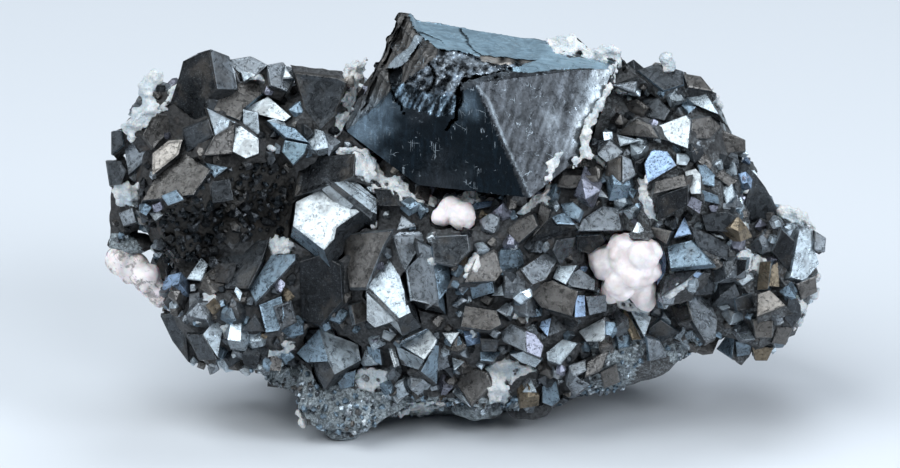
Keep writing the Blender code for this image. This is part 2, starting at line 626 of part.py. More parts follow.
def top_cutter():
    """What lies above the large crystal's dished top."""
    bm = bmesh.new()
    columns = []
    steps = len(TOP_BACK_EDGE) - 1
    for i, (back, front) in enumerate(zip(TOP_BACK_EDGE, TOP_FRONT_EDGE)):
        front_depth = TOP_FRONT_DEPTHS[0] + (TOP_FRONT_DEPTHS[1] - TOP_FRONT_DEPTHS[0]) * i / steps
        back_point = seen(*back, TOP_BACK_DEPTH)
        front_point = seen(*front, front_depth)
        along = back_point - front_point
        lift = Vector((0, 0, TOP_CUT_HEIGHT))
        ends = (front_point - along * TOP_CUT_OVERRUN[0], back_point + along * TOP_CUT_OVERRUN[1])
        columns.append([bm.verts.new(point) for point in (*ends, ends[1] + lift, ends[0] + lift)])
    bm.faces.new(columns[0])
    bm.faces.new(reversed(columns[-1]))
    for one, other in zip(columns, columns[1:]):
        for i in range(4):
            j = (i + 1) % 4
            bm.faces.new((one[j], one[i], other[i], other[j]))
    bmesh.ops.triangulate(bm, faces=bm.faces)
    return new_object("top_cutter", take_mesh(bm))


def crevice_cutter(tree):
    """A wedge along the black crevice of the large crystal."""
    bm = bmesh.new()
    middle = [on_rock(tree, *pixel) for pixel in CREVICE]
    sections = []
    for i, point in enumerate(middle):
        before = middle[max(i - 1, 0)]
        after = middle[min(i + 1, len(middle) - 1)]
        side = (after - before).cross(SIGHT).normalized() * CREVICE_WIDTH
        out = point - SIGHT * CREVICE_MOUTH
        sections.append([bm.verts.new(p) for p in (out + side, out - side, point + SIGHT * CREVICE_REACH)])
    bm.faces.new(sections[0])
    bm.faces.new(reversed(sections[-1]))
    for one, other in zip(sections, sections[1:]):
        for i in range(3):
            j = (i + 1) % 3
            bm.faces.new((one[j], one[i], other[i], other[j]))
    bmesh.ops.triangulate(bm, faces=bm.faces)
    return new_object("crevice_cutter", take_mesh(bm))


def ledge_cutter(pixel, height, tree):
    """A wedge that leaves a step on the large crystal's left side."""
    bm = bmesh.new()
    place = on_rock(tree, *pixel)
    _, side = plane_of(LARGE_PLANES["left"])
    matrix = Matrix.Translation(place) @ side.to_track_quat("Z", "Y").to_matrix().to_4x4()
    matrix = matrix @ Matrix.Rotation(LEDGE_SLANT, 4, "X")
    matrix = matrix @ Matrix.Diagonal((LEDGE_LENGTH, height * MM, LEDGE_CUT, 1))
    bmesh.ops.create_cube(bm, size=1, matrix=matrix)
    return new_object("ledge_cutter", take_mesh(bm))


def large_crystal():
    bm = bmesh.new()
    bmesh.ops.create_cube(bm, size=BLOCK_SIZE, matrix=Matrix.Translation((0, 0, BLOCK_SIZE / 2)))
    for points in LARGE_PLANES.values():
        cut_plane(bm, *plane_of(points))
    cut_plane(bm, Vector((0, 0, LARGE_BOTTOM)), Vector((0, 0, -1)))
    block = take_mesh(bm)
    made = join_shells("large_crystal", [block], "alabandite")
    combine(made, top_cutter(), "DIFFERENCE")
    combine(made, crevice_cutter(surface_tree(made)), "DIFFERENCE")
    for pixel, height in LEDGES:
        combine(made, ledge_cutter(pixel, height, surface_tree(made)), "DIFFERENCE")
    keep_largest_body(made)
    return made, [block]


def beaded_mass(name, beads, tree):
    """Rounded beads run together into one crust of quartz or rhodochrosite."""
    shells = []
    for column, row, radius, *depth in beads:
        size = radius * MM
        centre = seen(column, row, depth[0] * MM) if depth else on_rock(tree, column, row, size * BEAD_SINK)
        bm = bmesh.new()
        ellipsoid(bm, centre, (size, size * 1.1, size), segments=BEAD_SEGMENTS[size > LARGE_BEAD])
        shells.append(take_mesh(bm))
    kind = "rhodochrosite" if name.startswith("rhodochrosite") else "quartz"
    return join_shells(name, shells, kind), shells


def crusted_rock(core, dice):
    """The rock with its crust of crystals."""
    tree = surface_tree(core)
    shells, taken = [], []
    for facing, pixels in CRUST_FACES.values():
        shell, centre, reach = faced_crystal(tree, facing, pixels, dice)
        shells.append(shell)
        taken.append((centre, reach))
    for faces in LONE_CRYSTALS.values():
        taken += [(on_rock(tree, *middle_of(pixels)), LONE_REACH) for _, pixels in faces]
    shells += scattered_crystals(core, taken, dice)
    rock = join_shells("matrix", [core.data], "alabandite_crust")
    apply_shells(rock, shells, "UNION")
    keep_largest_body(rock)
    return rock


def cut_ground(rock):
    """Cuts the flat that the rock rests on."""
    bm = bmesh.new()
    bmesh.ops.create_cube(bm, size=1, matrix=Matrix.Translation((0, 0, -0.5)))
    combine(rock, new_object("ground", take_mesh(bm)), "DIFFERENCE")


def centre_on_origin(things):
    """Moves every piece alike so that the origin is at the middle of the underside."""
    corners = [thing.matrix_world @ vertex.co for thing in things for vertex in thing.data.vertices]
    low = [min(corner[k] for corner in corners) for k in range(3)]
    high = [max(corner[k] for corner in corners) for k in range(3)]
    shift = Vector((-(low[0] + high[0]) / 2, -(low[1] + high[1]) / 2, -low[2]))
    size = [round((h - l) / MM, 1) for l, h in zip(low, high)]
    print("size mm", size, "shift mm", [round(s / MM, 2) for s in shift])
    for thing in things:
        thing.data.transform(Matrix.Translation(shift))


def main():
    clear_scene()
    dice = random.Random(SEED)
    core = rock_core()
    core_tree = surface_tree(core)
    rock = crusted_rock(core, dice)
    pieces = [large_crystal()]
    for name, faces in LONE_CRYSTALS.items():
        pieces.append(lone_crystal(name, faces, core_tree, dice))
    outer_tree = surface_tree(rock, *[piece for piece, _ in pieces])
    for name, beads in BEADS.items():
        pieces.append(beaded_mass(name, beads, outer_tree))
    pieces.append(lone_crystal("pale_plate", [PALE_PLATE], core_tree, dice))
    bpy.data.objects.remove(core, do_unlink=True)
    sockets = [[grown(shell) for shell in shells] for _, shells in pieces]
    for i, (piece, _) in enumerate(pieces):
        for earlier in sockets[:i]:
            apply_shells(piece, [shell for shell in earlier if near(piece.data, shell)], "DIFFERENCE")
        keep_largest_body(piece)
    apply_shells(rock, [shell for socket in sockets for shell in socket], "DIFFERENCE")
    cut_ground(rock)
    keep_largest_body(rock)
    things = [rock] + [piece for piece, _ in pieces]
    for thing in things:
        flatten_faces(thing)
    centre_on_origin(things)


def near(one, other):
    """Whether the boxes of two meshes meet."""

    def box(mesh):
        points = [vertex.co for vertex in mesh.vertices]
        return [(min(p[k] for p in points), max(p[k] for p in points)) for k in range(3)]

    return all(a[0] < b[1] and b[0] < a[1] for a, b in zip(box(one), box(other)))


main()
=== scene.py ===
import math
import random

import bmesh
import bpy
from mathutils import Euler, Matrix, Vector, noise
from mathutils.bvhtree import BVHTree
from mathutils.geometry import intersect_line_plane


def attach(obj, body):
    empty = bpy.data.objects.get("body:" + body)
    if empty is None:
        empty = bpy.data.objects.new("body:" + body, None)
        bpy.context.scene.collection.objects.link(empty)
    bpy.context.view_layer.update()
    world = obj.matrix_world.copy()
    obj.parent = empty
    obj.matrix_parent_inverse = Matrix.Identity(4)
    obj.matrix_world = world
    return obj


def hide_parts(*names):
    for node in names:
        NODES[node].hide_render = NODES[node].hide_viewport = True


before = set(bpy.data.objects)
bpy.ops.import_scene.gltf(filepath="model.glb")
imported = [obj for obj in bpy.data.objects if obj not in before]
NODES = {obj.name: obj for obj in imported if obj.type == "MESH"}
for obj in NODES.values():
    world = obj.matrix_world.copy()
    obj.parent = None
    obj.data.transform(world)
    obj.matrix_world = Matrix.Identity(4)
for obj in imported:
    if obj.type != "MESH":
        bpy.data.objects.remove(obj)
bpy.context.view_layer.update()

MM = 0.001
SEED = 11
BODY = "root"

# How the photograph sees the specimen: the pixel size, and the line of sight through each pixel
PIXEL = 0.17 * MM
PHOTO_SIZE = (900, 468)
MIDDLE_COLUMN = 465.06
LOWEST_ROW = 443
VIEW_TILT = math.radians(20)
TOE_DEPTH = -12 * MM
MIDDLE_DEPTH = 5.65 * MM
SIGHT = Vector((0, math.cos(VIEW_TILT), -math.sin(VIEW_TILT)))
BEFORE_ALL = -0.2  # a depth in front of the whole specimen

# The tones of crystal faces, from the darkest to the brightest. The darker ones are the crystals' own colour;
# the grey, steel, satin, blue, pale and white ones are painted reflections of the lights
TONES = {
    "ink": (0.004, 0.008, 0.012),
    "black": (0.014, 0.016, 0.019),
    "dark": (0.062, 0.070, 0.079),
    "brown": (0.145, 0.137, 0.130),
    "slate": (0.060, 0.066, 0.074),
    "gold": (0.23, 0.185, 0.13),
    "grey": (0.26, 0.29, 0.32),
    "lilac": (0.28, 0.29, 0.36),
    "steel": (0.25, 0.34, 0.42),
    "satin": (0.34, 0.48, 0.57),
    "warm": (0.36, 0.33, 0.30),
    "blue": (0.30, 0.42, 0.60),
    "pale": (0.53, 0.61, 0.67),
    "white": (0.56, 0.61, 0.64),
}
# Turn to the right and tip upwards of the ways a face can look, in degrees
FACINGS = {
    "viewer": (0, 20),
    "light": (-20, 40),
    "up": (5, 52),
    "left": (-38, 18),
    "right": (38, 18),
    "up left": (-36, 42),
    "up right": (34, 42),
    "down": (0, -8),
    "low left": (-32, -4),
    "low right": (32, -4),
}

# Faces of the crust that the solids carry: the tone and the outline of each, in pixels. Their paler tones are
# painted reflections of the lights
CRUST_FACES = {
    "brown ledge": ("brown", "209,100 232,86 255,79 271,88 245,109 241,121 212,110"),
    "white step": ("white", "244,109 269,97 292,117 285,122 259,115"),
    "white low step": ("white", "237,123 260,139 260,154 247,159 234,152"),
    "pale triangle": ("pale", "209,109 237,123 217,137"),
    "blue block": ("satin", "286,141 308,145 305,154 294,165 283,152"),
    "rough block": ("dark", "296,74 337,79 347,84 334,117 321,130 306,110"),
    "dark gable left": ("dark", "184,130 210,120 215,137 187,154"),
    "dark gable right": ("brown", "216,137 236,125 234,154 206,156"),
    "olive plate": ("brown", "144,201 156,180 187,154 212,170 195,195"),
    "warm plate": ("warm", "154,154 170,141 184,140 180,155 154,176"),
    "small pyramid": ("brown", "155,115 169,116 171,131 155,149 145,136"),
    "lilac plate": ("grey", "124,139 143,140 151,156 129,175"),
    "left edge plate": ("dark", "112,132 122,131 124,145 112,155"),
    "left edge block": ("dark", "106,161 121,161 127,171 122,184 110,186"),
    "top left corner": ("grey", "226,61 251,57 268,66 255,78 240,73"),
    "top notch": ("grey", "268,66 284,63 296,78 288,92 272,86"),
    "dark roof": ("black", "301,159 355,154 354,177 335,184 295,197"),
    "black wedge": ("black", "374,189 390,190 399,206 380,206"),
    "brown column": ("brown", "342,235 392,231 384,245 367,287 350,287"),
    "brown roof": ("grey", "392,232 430,231 406,269 400,256"),
    "dark wall": ("black", "300,262 322,255 341,265 343,300 321,325 302,318"),
    "round grey": ("dark", "432,237 467,235 469,250 455,266 435,262"),
    "lined plate": ("brown", "475,259 494,249 510,262 495,281 465,282"),
    "leaning plate": ("grey", "520,269 552,247 557,260 545,279 532,284"),
    "black ledge": ("black", "550,217 567,217 577,229 545,240 530,242"),
    "grey plate right": ("grey", "581,220 602,206 617,209 620,230 577,231"),
    "roof band": ("brown", "556,187 561,175 595,176 597,182 570,189"),
    "brown plate": ("brown", "525,286 552,280 577,291 571,316 541,307"),
    "dark tab": ("dark", "556,240 575,237 571,252 560,265 552,250"),
    "red-black box": ("black", "576,237 600,235 604,242 589,254 576,250"),
    "speckled tab": ("grey", "570,274 579,269 594,280 594,290 567,286"),
    "grey upright": ("grey", "585,296 607,295 606,311 589,315"),
    "brown box": ("brown", "465,305 496,310 501,324 489,330 461,326"),
    "brown kite": ("brown", "464,364 487,372 491,385 471,405 457,384"),
    "octahedron left": ("grey", "501,331 510,324 525,331 525,351 501,340"),
    "octahedron right": ("lilac", "525,330 535,334 543,345 540,357 526,351"),
    "bright hexagon": ("pale", "546,352 562,339 577,343 560,364 547,360"),
    "brown lozenge": ("brown", "587,362 604,350 609,351 601,370 585,377"),
    "white star": ("white", "604,317 604,341 586,341 578,331"),
    "blue-grey foot": ("steel", "542,386 556,381 560,400 552,406 542,402"),
    "bright kite": ("white", "400,344 429,329 437,339 435,345 424,359"),
    "pale kite side": ("steel", "435,345 439,345 437,384 421,371"),
    "grey kite foot": ("pale", "396,345 424,360 421,370 401,364"),
    "long plate": ("steel", "272,255 296,254 296,260 257,302 250,289"),
    "long plate foot": ("steel", "260,305 282,296 285,315 280,330 267,332"),
    "dark blue gable": ("dark", "187,334 204,334 218,359 200,360"),
    "grey gable": ("pale", "204,334 212,324 225,320 219,357"),
    "left foot rim": ("dark", "160,316 175,312 186,334 188,362 172,341"),
    "dark sail": ("dark", "602,54 609,50 637,77 614,85 612,67"),
    "blue-black roof": ("dark", "637,71 656,64 682,72 682,85 662,91"),
    "right roof": ("brown", "682,74 700,77 712,92 687,88"),
    "pale blue blade": ("pale", "687,90 702,88 718,115 710,112 684,101"),
    "white flag": ("white", "684,116 689,121 686,149 660,139 655,127"),
    "brown flag": ("brown", "635,119 650,126 657,139 616,135"),
    "brown corner": ("brown", "690,120 709,117 720,127 709,139 689,139"),
    "right ledge": ("brown", "722,130 745,140 745,151 702,155"),
    "bright blue plate": ("blue", "651,150 666,152 675,166 646,184 643,164"),
    "white speckled plate": ("white", "683,172 694,169 699,175 699,194 689,194"),
    "tent left": ("brown", "606,162 620,156 620,186 604,177"),
    "box top": ("brown", "652,194 654,182 682,175 685,186"),
    "box front": ("black", "655,197 686,187 686,205 659,219"),
    "dark plank": ("dark", "690,227 710,235 727,245 726,260 696,247"),
    "dark shelf": ("black", "666,257 696,250 715,264 669,271"),
    "dark lintel": ("dark", "700,215 725,212 735,217 734,232 705,231"),
    "black lozenge": ("black", "781,230 794,242 789,272 772,252"),
    "far right tip": ("grey", "815,231 826,238 825,252 814,250"),
    "far right foot": ("brown", "796,284 815,276 817,292 801,300"),
    "dark fin": ("dark", "665,274 696,270 684,281 659,297"),
    "dark sliver": ("black", "682,287 692,320 677,324 669,305"),
    "big grey plate": ("grey", "685,290 709,300 717,319 715,337 705,342 692,321"),
    "pale pyramid": ("warm", "757,294 769,290 784,305 756,316"),
    "dark end": ("dark", "789,291 800,305 801,316 792,328 784,318"),
    "end block": ("dark", "750,319 771,320 770,336 756,336"),
    "end low block": ("brown", "777,326 793,328 786,345 772,343"),
    "gold foot": ("gold", "752,346 774,348 768,361 756,361"),
    "right gem left": ("steel", "732,329 735,340 732,359 717,349"),
    "foot corner": ("grey", "646,337 660,341 667,357 649,361"),
}

# Smaller faces, with the way each one looks; their paler tones are painted reflections of the lights
SMALL_FACES = {
    "pale step": ("pale", "viewer", "244,110 259,113 261,137 244,124"),
    "blue sliver": ("steel", "up", "268,121 296,129 310,143 287,138"),
    "upright brown": ("brown", "left", "532,237 540,202 550,210 547,220"),
    "blue-grey block": ("steel", "light", "560,204 572,202 581,210 577,220 565,217"),
    "white triangle": ("white", "light", "580,194 595,184 607,198"),
    "small roof": ("brown", "up", "560,169 570,156 582,157 589,167"),
    "pale tab": ("pale", "light", "557,266 576,265 565,284 552,278"),
    "blue upright": ("blue", "right", "575,295 584,295 585,316 574,317"),
    "grey corner": ("grey", "up right", "496,310 512,301 506,316"),
    "dark pyramid": ("dark", "right", "552,314 566,329 547,336"),
    "octahedron foot": ("pale", "down", "510,354 525,350 541,360 535,367 521,362"),
    "bright strip": ("blue", "up", "463,204 495,200 492,206 469,211"),
    "dark blue block": ("steel", "low left", "367,346 380,349 382,365 370,360"),
    "low pyramid": ("steel", "down", "335,376 356,370 354,386 341,389"),
    "speckled leaf": ("pale", "light", "202,257 209,265 202,281 187,279"),
    "grey hexagon": ("grey", "viewer", "190,294 200,292 201,306 190,311"),
    "dark tooth": ("dark", "down", "242,331 256,316 266,331"),
    "sail foot": ("grey", "right", "612,86 637,81 635,95"),
    "light blue corner": ("pale", "up right", "675,154 692,154 685,166 675,165"),
    "blue-grey tab": ("steel", "right", "696,166 704,165 714,176 707,187 699,177"),
    "tent right": ("grey", "right", "621,156 630,160 636,175 621,185"),
    "blue triangle": ("blue", "light", "683,217 690,234 672,238"),
    "purple plate": ("brown", "left", "647,225 670,231 665,244 654,237"),
    "black hexagon": ("black", "low left", "734,259 745,260 744,270 736,276 731,269"),
    "bright-edged tooth": ("dark", "low right", "703,269 715,285 712,294 694,295"),
    "gold tall": ("gold", "left", "759,262 770,261 767,289 756,290"),
    "gold side": ("gold", "right", "770,266 777,262 779,287 767,286"),
    "pale chip": ("pale", "light", "717,289 729,307 721,310 710,300"),
    "right gem right": ("pale", "up right", "734,329 749,329 755,339 742,340"),
    "right gem foot": ("steel", "down", "736,341 752,345 750,355 737,357"),
    "gold splinter": ("gold", "left", "624,306 641,339 632,340 622,320"),
    "pale splinter": ("pale", "up right", "630,310 639,310 651,317 644,337"),
    "roof chip": ("pale", "up", "242,72 256,75 245,82"),
    "notch chip": ("white", "light", "286,67 294,79 283,80"),
    "small blue tent": ("steel", "light", "206,163 229,168 216,178"),
    "striped block": ("dark", "viewer", "211,182 231,179 235,200 214,203"),
    "dark leaf": ("dark", "up left", "219,244 269,240 262,262 249,288 226,288"),
    "chip by the blade": ("pale", "light", "384,329 397,334 390,341 382,337"),
    "low white strip": ("white", "light", "387,344 394,344 400,365 394,367"),
    "white tooth": ("white", "light", "442,332 460,331 451,344"),
    "small pale triangle": ("pale", "light", "507,277 516,295 491,295"),
    "dark slab": ("steel", "low left", "469,282 492,281 494,292 472,299"),
    "kite top": ("pale", "up", "452,357 464,361 454,370"),
    "kite foot": ("pale", "light", "457,385 471,407 452,392"),
    "foot triangle": ("pale", "light", "531,379 537,392 522,392"),
    "foot fang": ("white", "light", "518,395 521,404 513,409"),
    "round foot": ("grey", "viewer", "514,411 525,407 536,413 522,419"),
    "grey tooth": ("grey", "light", "402,214 416,226 397,231"),
    "blue lozenge": ("blue", "light", "541,321 551,317 547,336 539,327"),
    "dark step": ("dark", "down", "480,338 499,339 496,351 482,351"),
    "steel step": ("steel", "up", "480,351 501,351 493,361 480,360"),
    "dark bar": ("dark", "up", "395,340 424,322 430,329 400,344"),
    "crossed upright": ("brown", "left", "504,231 518,220 532,214 537,226 518,243"),
    "steel shelf": ("steel", "up right", "551,217 564,212 575,225 556,224"),
    "grey wedge": ("grey", "light", "567,365 585,359 586,370 573,377"),
    "top chip": ("pale", "up", "632,71 647,56 650,67"),
    "dark knob": ("dark", "up left", "640,99 657,98 669,111 663,121 645,117"),
    "dark pebble": ("brown", "left", "619,102 637,100 648,108 642,117 625,114"),
    "low pale flag": ("pale", "light", "616,135 639,141 619,147"),
    "black gap": ("black", "low right", "634,163 644,158 646,181 634,173"),
    "steel tab": ("steel", "right", "697,165 713,175 713,187 699,184"),
    "brown tip": ("brown", "right", "713,176 721,170 737,181 728,187"),
    "dark steel chip": ("steel", "down", "700,190 716,196 719,205 702,201"),
    "lilac chip": ("lilac", "viewer", "685,205 690,196 700,202 698,214"),
    "pale mottle": ("pale", "light", "719,187 731,184 734,196 725,205"),
    "white chip": ("white", "light", "706,231 720,235 723,239 714,237"),
    "blue by the cluster": ("blue", "left", "661,245 665,260 664,272 656,285 656,269"),
    "steel plank": ("steel", "up left", "666,246 690,240 710,264 669,268"),
    "white point": ("white", "light", "728,285 737,291 731,297"),
    "white speck": ("white", "light", "726,309 734,311 730,317"),
    "dark tile": ("dark", "low right", "734,299 751,293 756,307 737,311"),
    "brown tile": ("brown", "viewer", "752,320 772,321 771,337 755,337"),
    "small pale leaf": ("pale", "light", "237,286 243,292 241,301 235,291"),
    "dark foot": ("dark", "down", "648,329 660,320 678,332 663,341 649,338"),
    "pale corner": ("pale", "up right", "268,121 282,117 290,130 274,128"),
    "far blue chip": ("steel", "left", "163,196 178,190 186,200 170,206"),
    "rim tooth": ("grey", "left", "119,213 133,208 137,222 124,226"),
    "low grey plate": ("grey", "down", "432,352 446,350 450,366 438,371"),
    "low brown block": ("brown", "down", "600,372 616,364 620,382 604,388"),
    "brown shard": ("brown", "right", "352,305 366,300 372,318 356,324"),
    "dark shard": ("dark", "right", "275,306 292,300 298,322 282,330"),
}

# Places on the separate crystals, in front: the tone of each face by its outline. The pale and white tones
# are painted reflections of the lights
CRYSTAL_PATCHES = {
    "dark_crystal": {
        "left face": ("black", "184,62 212,50 219,90 209,99 210,119 187,127 169,110 180,77"),
        "right face": ("grey", "212,50 226,61 240,72 219,90"),
    },
    "hexagonal_crystal": {
        "bright face": ("white", "297,202 328,187 360,212 337,228 335,239 325,250 294,226"),
        "second plate": ("pale", "335,183 352,178 377,199 377,214 355,204"),
        "foot": ("steel", "292,227 324,249 305,245 291,239"),
    },
    "blade_crystal": {
        "blade": ("pale", "385,244 404,261 400,275 411,312 397,319 367,289"),
        "foot": ("white", "367,292 396,320 375,327 367,320"),
    },
    "plate_crystal": {
        "plate": ("grey", "406,269 431,246 435,265 439,306 410,299"),
        "side": ("steel", "431,246 449,267 451,285 439,300"),
    },
    "pyramid_crystal": {
        "left face": ("steel", "319,329 329,361 307,362 297,353"),
        "right face": ("pale", "319,329 358,344 361,360 335,374 329,361"),
    },
    "side_crystal": {
        "face": ("dark", "755,174 765,187 781,215 782,225 772,244 739,235 749,182"),
    },
}

# Thin dark sheets of painted shade in the grooves of these crystals, a dark strip on the blade's side, and a
# painted highlight along the plate's edge: the tone and the outline of each, in pixels
STEP_SHADE_AND_HIGHLIGHT = {
    "hexagon groove": ("dark", "324,180 329,178 374,213 371,219"),
    "hexagon second groove": ("dark", "343,181 347,180 378,202 377,207"),
    "blade groove": ("dark", "367,290 370,288 399,317 396,320"),
    "blade side": ("dark", "401,263 405,268 411,300 407,304"),
    "plate edge": ("pale", "406,270 408,268 413,299 410,300"),
}

# Regions of the large crystal, in front: the tone, the roughness and the outline of each, in pixels. Their
# satin, steel, grey and pale tones are painted reflections of the lights
LARGE_REGIONS = {
    # The cavity's black is painted shade in its recess
    "cavity": ("black", 0.6, "388,69 403,67 403,84 391,89"),
    "bright ledge": ("pale", 0.22, "424,37 412,57 403,67 388,69 392,62 408,50 415,38"),
    "satin top": ("satin", 0.30, "405,5 460,24 506,34 552,36 567,59 535,62 510,59 480,57 460,52 439,51 "
                                 "417,34"),
    "lower strip": ("satin", 0.26, "507,71 535,62 567,59 589,58 618,62 614,70 566,70 511,74"),
    "rusty ledge": ("warm", 0.3, "480,57 510,59 535,62 522,66 500,66 482,62"),
    "broken zone": ("grey", 0.10, "405,84 425,68 436,60 440,51 460,52 480,59 510,63 520,66 507,71 476,80 "
                                  "462,84 458,97 430,95"),
    "shoulder": ("brown", 0.36, "427,40 440,51 436,64 424,74 410,85 400,85 404,66 412,57"),
    "left side": ("brown", 0.42, "388,8 417,15 428,37 405,66 389,70 392,90 370,112 345,134 330,137 355,95 "
                                 "368,50 380,32"),
    "shiny hollow": ("steel", 0.12, "391,89 405,84 430,93 458,97 456,112 440,118 418,112 400,106"),
    "dark front": ("ink", 0.16, "335,128 391,89 412,85 447,97 475,88 532,214 470,214 415,196 380,180 "
                                "340,140"),
    "right face": ("slate", 0.26, "475,87 511,73 618,68 610,82 599,102 580,140 579,158 551,190 532,214"),
}
# The flat front faces of the large crystal, each through three points: a pixel and its depth in millimetres
LARGE_FRONT = {
    "dark front": [(347, 130, -7), (475, 88, -17), (529, 197, -21)],
    "right": [(475, 88, -17), (529, 197, -21), (611, 76, -5)],
    "shoulder": [(439, 51, -13), (567, 60, -6), (475, 86, -17)],
}
# The plain crevice of the CAD crystal, in pixels, how near to it the faces are closed, and how deep
CREVICE = [(452, 128), (460, 105), (474, 80), (512, 72)]
CREVICE_REACH = 10
CREVICE_DEPTH = 6.5 * MM
# The ragged cracks: the line and the half width of each in pixels, and its depth in millimetres
CRACKS = (
    ([(511, 71), (494, 77), (476, 80), (466, 83), (459, 92), (458, 108), (455, 120), (448, 130)], 3.4, 3.2),
    ([(461, 29), (466, 42), (481, 58)], 1.5, 0.7),
    ([(412, 30), (428, 36), (445, 46)], 1.3, 0.4),
    ([(408, 18), (396, 42), (384, 68)], 2.6, 1.6),
    ([(377, 78), (369, 98), (362, 112)], 2.0, 1.2),
    ([(398, 30), (380, 62), (366, 90)], 1.4, 0.8),
    ([(391, 91), (398, 103), (405, 115)], 1.4, 0.8),
    ([(430, 66), (436, 80), (428, 94)], 1.8, 1.0),
)
# The edge between the two front faces, which carries a painted highlight, and the white band beside the right
# one's border
RIDGE = [(476, 87), (488, 101), (504, 142), (530, 198)]
PALE_BORDER = [(606, 70), (602, 90), (590, 112), (580, 134)]
# Painted sheens on the large crystal, which stand for reflections of the lights: centre and radius in pixels,
# tone and strength
PAINTED_SHEENS = {
    "left corner": ((362, 130), 20, "steel", 0.6),
    "left edge": ((380, 108), 16, "steel", 0.35),
    "middle": ((424, 104), 15, "slate", 0.5),
    "upper ridge": ((466, 104), 12, "steel", 0.4),
    "foot": ((440, 188), 24, "slate", 0.4),
    "right edge": ((598, 92), 15, "pale", 0.7),
    "right patch": ((551, 118), 9, "grey", 0.7),
    "lower right": ((572, 140), 12, "grey", 0.6),
}
# White mineral in the gaps of the crust: granules fill each outline
WHITE_PATCHES = {
    "cream vein": "178,66 184,66 174,103 167,103",
    "top strip": "226,59 239,59 255,71 268,82 262,84 240,72",
    "left granules": "114,181 139,186 139,207 120,205",
    "pink chip": "269,241 280,237 292,241 296,245 292,252 272,254",
    "blue vein": "355,150 366,150 386,179 399,205 391,190 367,182 356,175",
    "pink blob": "390,180 404,176 406,187 412,196 400,200",
    "white vein": "412,195 435,199 470,191 497,200 500,205 487,201 434,206 412,201",
    "branch": "517,215 527,202 544,194 549,187 552,209 540,202 530,210",
    "right blob": "611,90 621,89 634,96 631,101 621,97",
    "cluster foot": "612,292 624,296 640,310 652,302 650,313 634,316 616,304",
    "right matrix": "735,256 745,246 766,262 760,275 742,268",
    "cream strip": "691,277 686,285 665,301 662,297 677,285",
    "cream rim": "790,290 802,299 808,310 802,324 794,330 801,314 799,304",
    "mottled white": "222,327 235,324 237,331 225,339",
    "white bead": "207,292 216,291 217,299 211,306 206,301",
    "white block": "282,342 294,340 295,350 284,352",
    "foot chips": "264,350 279,350 281,356 266,358",
    "quartz patch": "354,367 387,369 389,384 372,392 352,384",
    "foot matrix": "487,367 506,357 520,365 537,370 520,376 514,382 492,380",
    "foot rim": "491,382 504,382 512,397 505,402 485,402",
    "toe rim": "407,402 445,401 435,412 412,419",
    "upper chip": "735,225 745,223 748,230 740,235",
    "bar": "512,313 527,316 526,321 514,318",
    "box seam": "638,180 646,176 650,206 657,222 648,216 640,200",
    "gap seam": "470,262 476,256 480,266 470,280 464,276",
}
# Where granules cover each of the quartz masses that are pieces of their own
MASS_OUTLINES = {
    "quartz_rind": {
        "rind": "546,41 559,37 572,37 591,51 602,46 614,46 621,55 610,52 603,56 612,66 592,60 566,57 "
                "554,53",
    },
    "quartz_rind_left": {
        "rind": "340,72 345,67 361,59 370,59 360,80 355,104 341,136 335,140 336,120 346,92 347,80",
    },
    "quartz_patch": {
        "upper": "160,71 164,78 155,96 149,97 139,87 150,73",
        "lower": "124,126 136,121 154,106 167,104 170,110 156,115 147,125 143,137 134,141",
    },
    "quartz_vein": {
        "border": "610,66 616,66 616,82 604,102 592,124 587,142 586,152 603,160 608,170 598,164 580,156 "
                  "580,140 585,122 598,100 608,82",
        "upright": "546,164 552,157 566,151 561,160 553,172 549,186 545,178",
        "branch": "549,186 553,192 556,202 545,206 536,203 524,216 518,213 530,200",
    },
    "quartz_end": {"end": "776,204 800,209 799,224 786,222"},
}
# For each mineral: how far its CAD shape is drawn in, and its granules' spacing and radii
MASS_SHAPES = {
    "quartz": (-0.7 * MM, 0.42 * MM, (0.3 * MM, 0.85 * MM)),
    "rhodochrosite": (-0.3 * MM, 1.8 * MM, (1.1 * MM, 2.4 * MM)),
}
# The one with grey stains
STAINED_LUMP = "rhodochrosite_lump"
# The tone of the rock in each area of the specimen; the near black of the hollow is painted shade in its
# recess
ROCK_TONES = {
    "back": (0.085, 0.083, 0.082),
    "crystals": (0.060, 0.061, 0.064),
    "left lobe": (0.038, 0.037, 0.037),
    "right lobe": (0.075, 0.077, 0.080),
    "face": (0.055, 0.057, 0.060),
    "hollow": (0.016, 0.014, 0.012),
    "rock": (0.25, 0.29, 0.31),
    "white": (0.20, 0.21, 0.22),
}
# Lumps of rock that the solids leave out: the pixel, the depth and the half sizes of each, in millimetres
ROCK_LUMPS = (
    ((131, 243), 1.5, (4.3, 3.0, 2.0)),
    ((343, 432), -9.5, (3.4, 2.6, 1.7)),
    ((478, 409), -6.0, (4.6, 3.0, 2.0)),
    ((528, 409), -5.0, (4.2, 3.0, 2.0)),
)
# Areas of rock: granular rims, and the hollow of the left lobe, painted dark as shade in its recess
ROCK_RIMS = {
    "toe": "238,362 300,366 352,388 392,396 460,398 508,396 512,410 478,423 430,422 392,418 344,446 "
           "318,430 286,392",
    "right foot rock": "585,331 604,345 635,340 646,352 622,394 575,398 583,380 600,372",
    "right foot edge": "662,345 696,339 715,345 717,360 671,362",
    "far left rim": "108,232 134,236 150,262 142,270 110,252",
}
HOLLOW = "165,205 198,192 214,170 262,162 292,170 295,206 292,236 262,262 205,264 160,250"
# The pixel down and to the right of the dark left lobe, and the column where the brighter right lobe begins
LEFT_LOBE_CORNER = (296, 285)
RIGHT_LOBE_COLUMN = 600

# For each table of faces: how far they stand out from their surface, and how far they reach into it
CRUST_FACE_DEPTHS = (0.45 * MM, 2.0 * MM)
SMALL_FACE_DEPTHS = (1.3 * MM, 3.2 * MM)
STEP_SHADE_AND_HIGHLIGHT_DEPTHS = (0.06 * MM, 0.5 * MM)
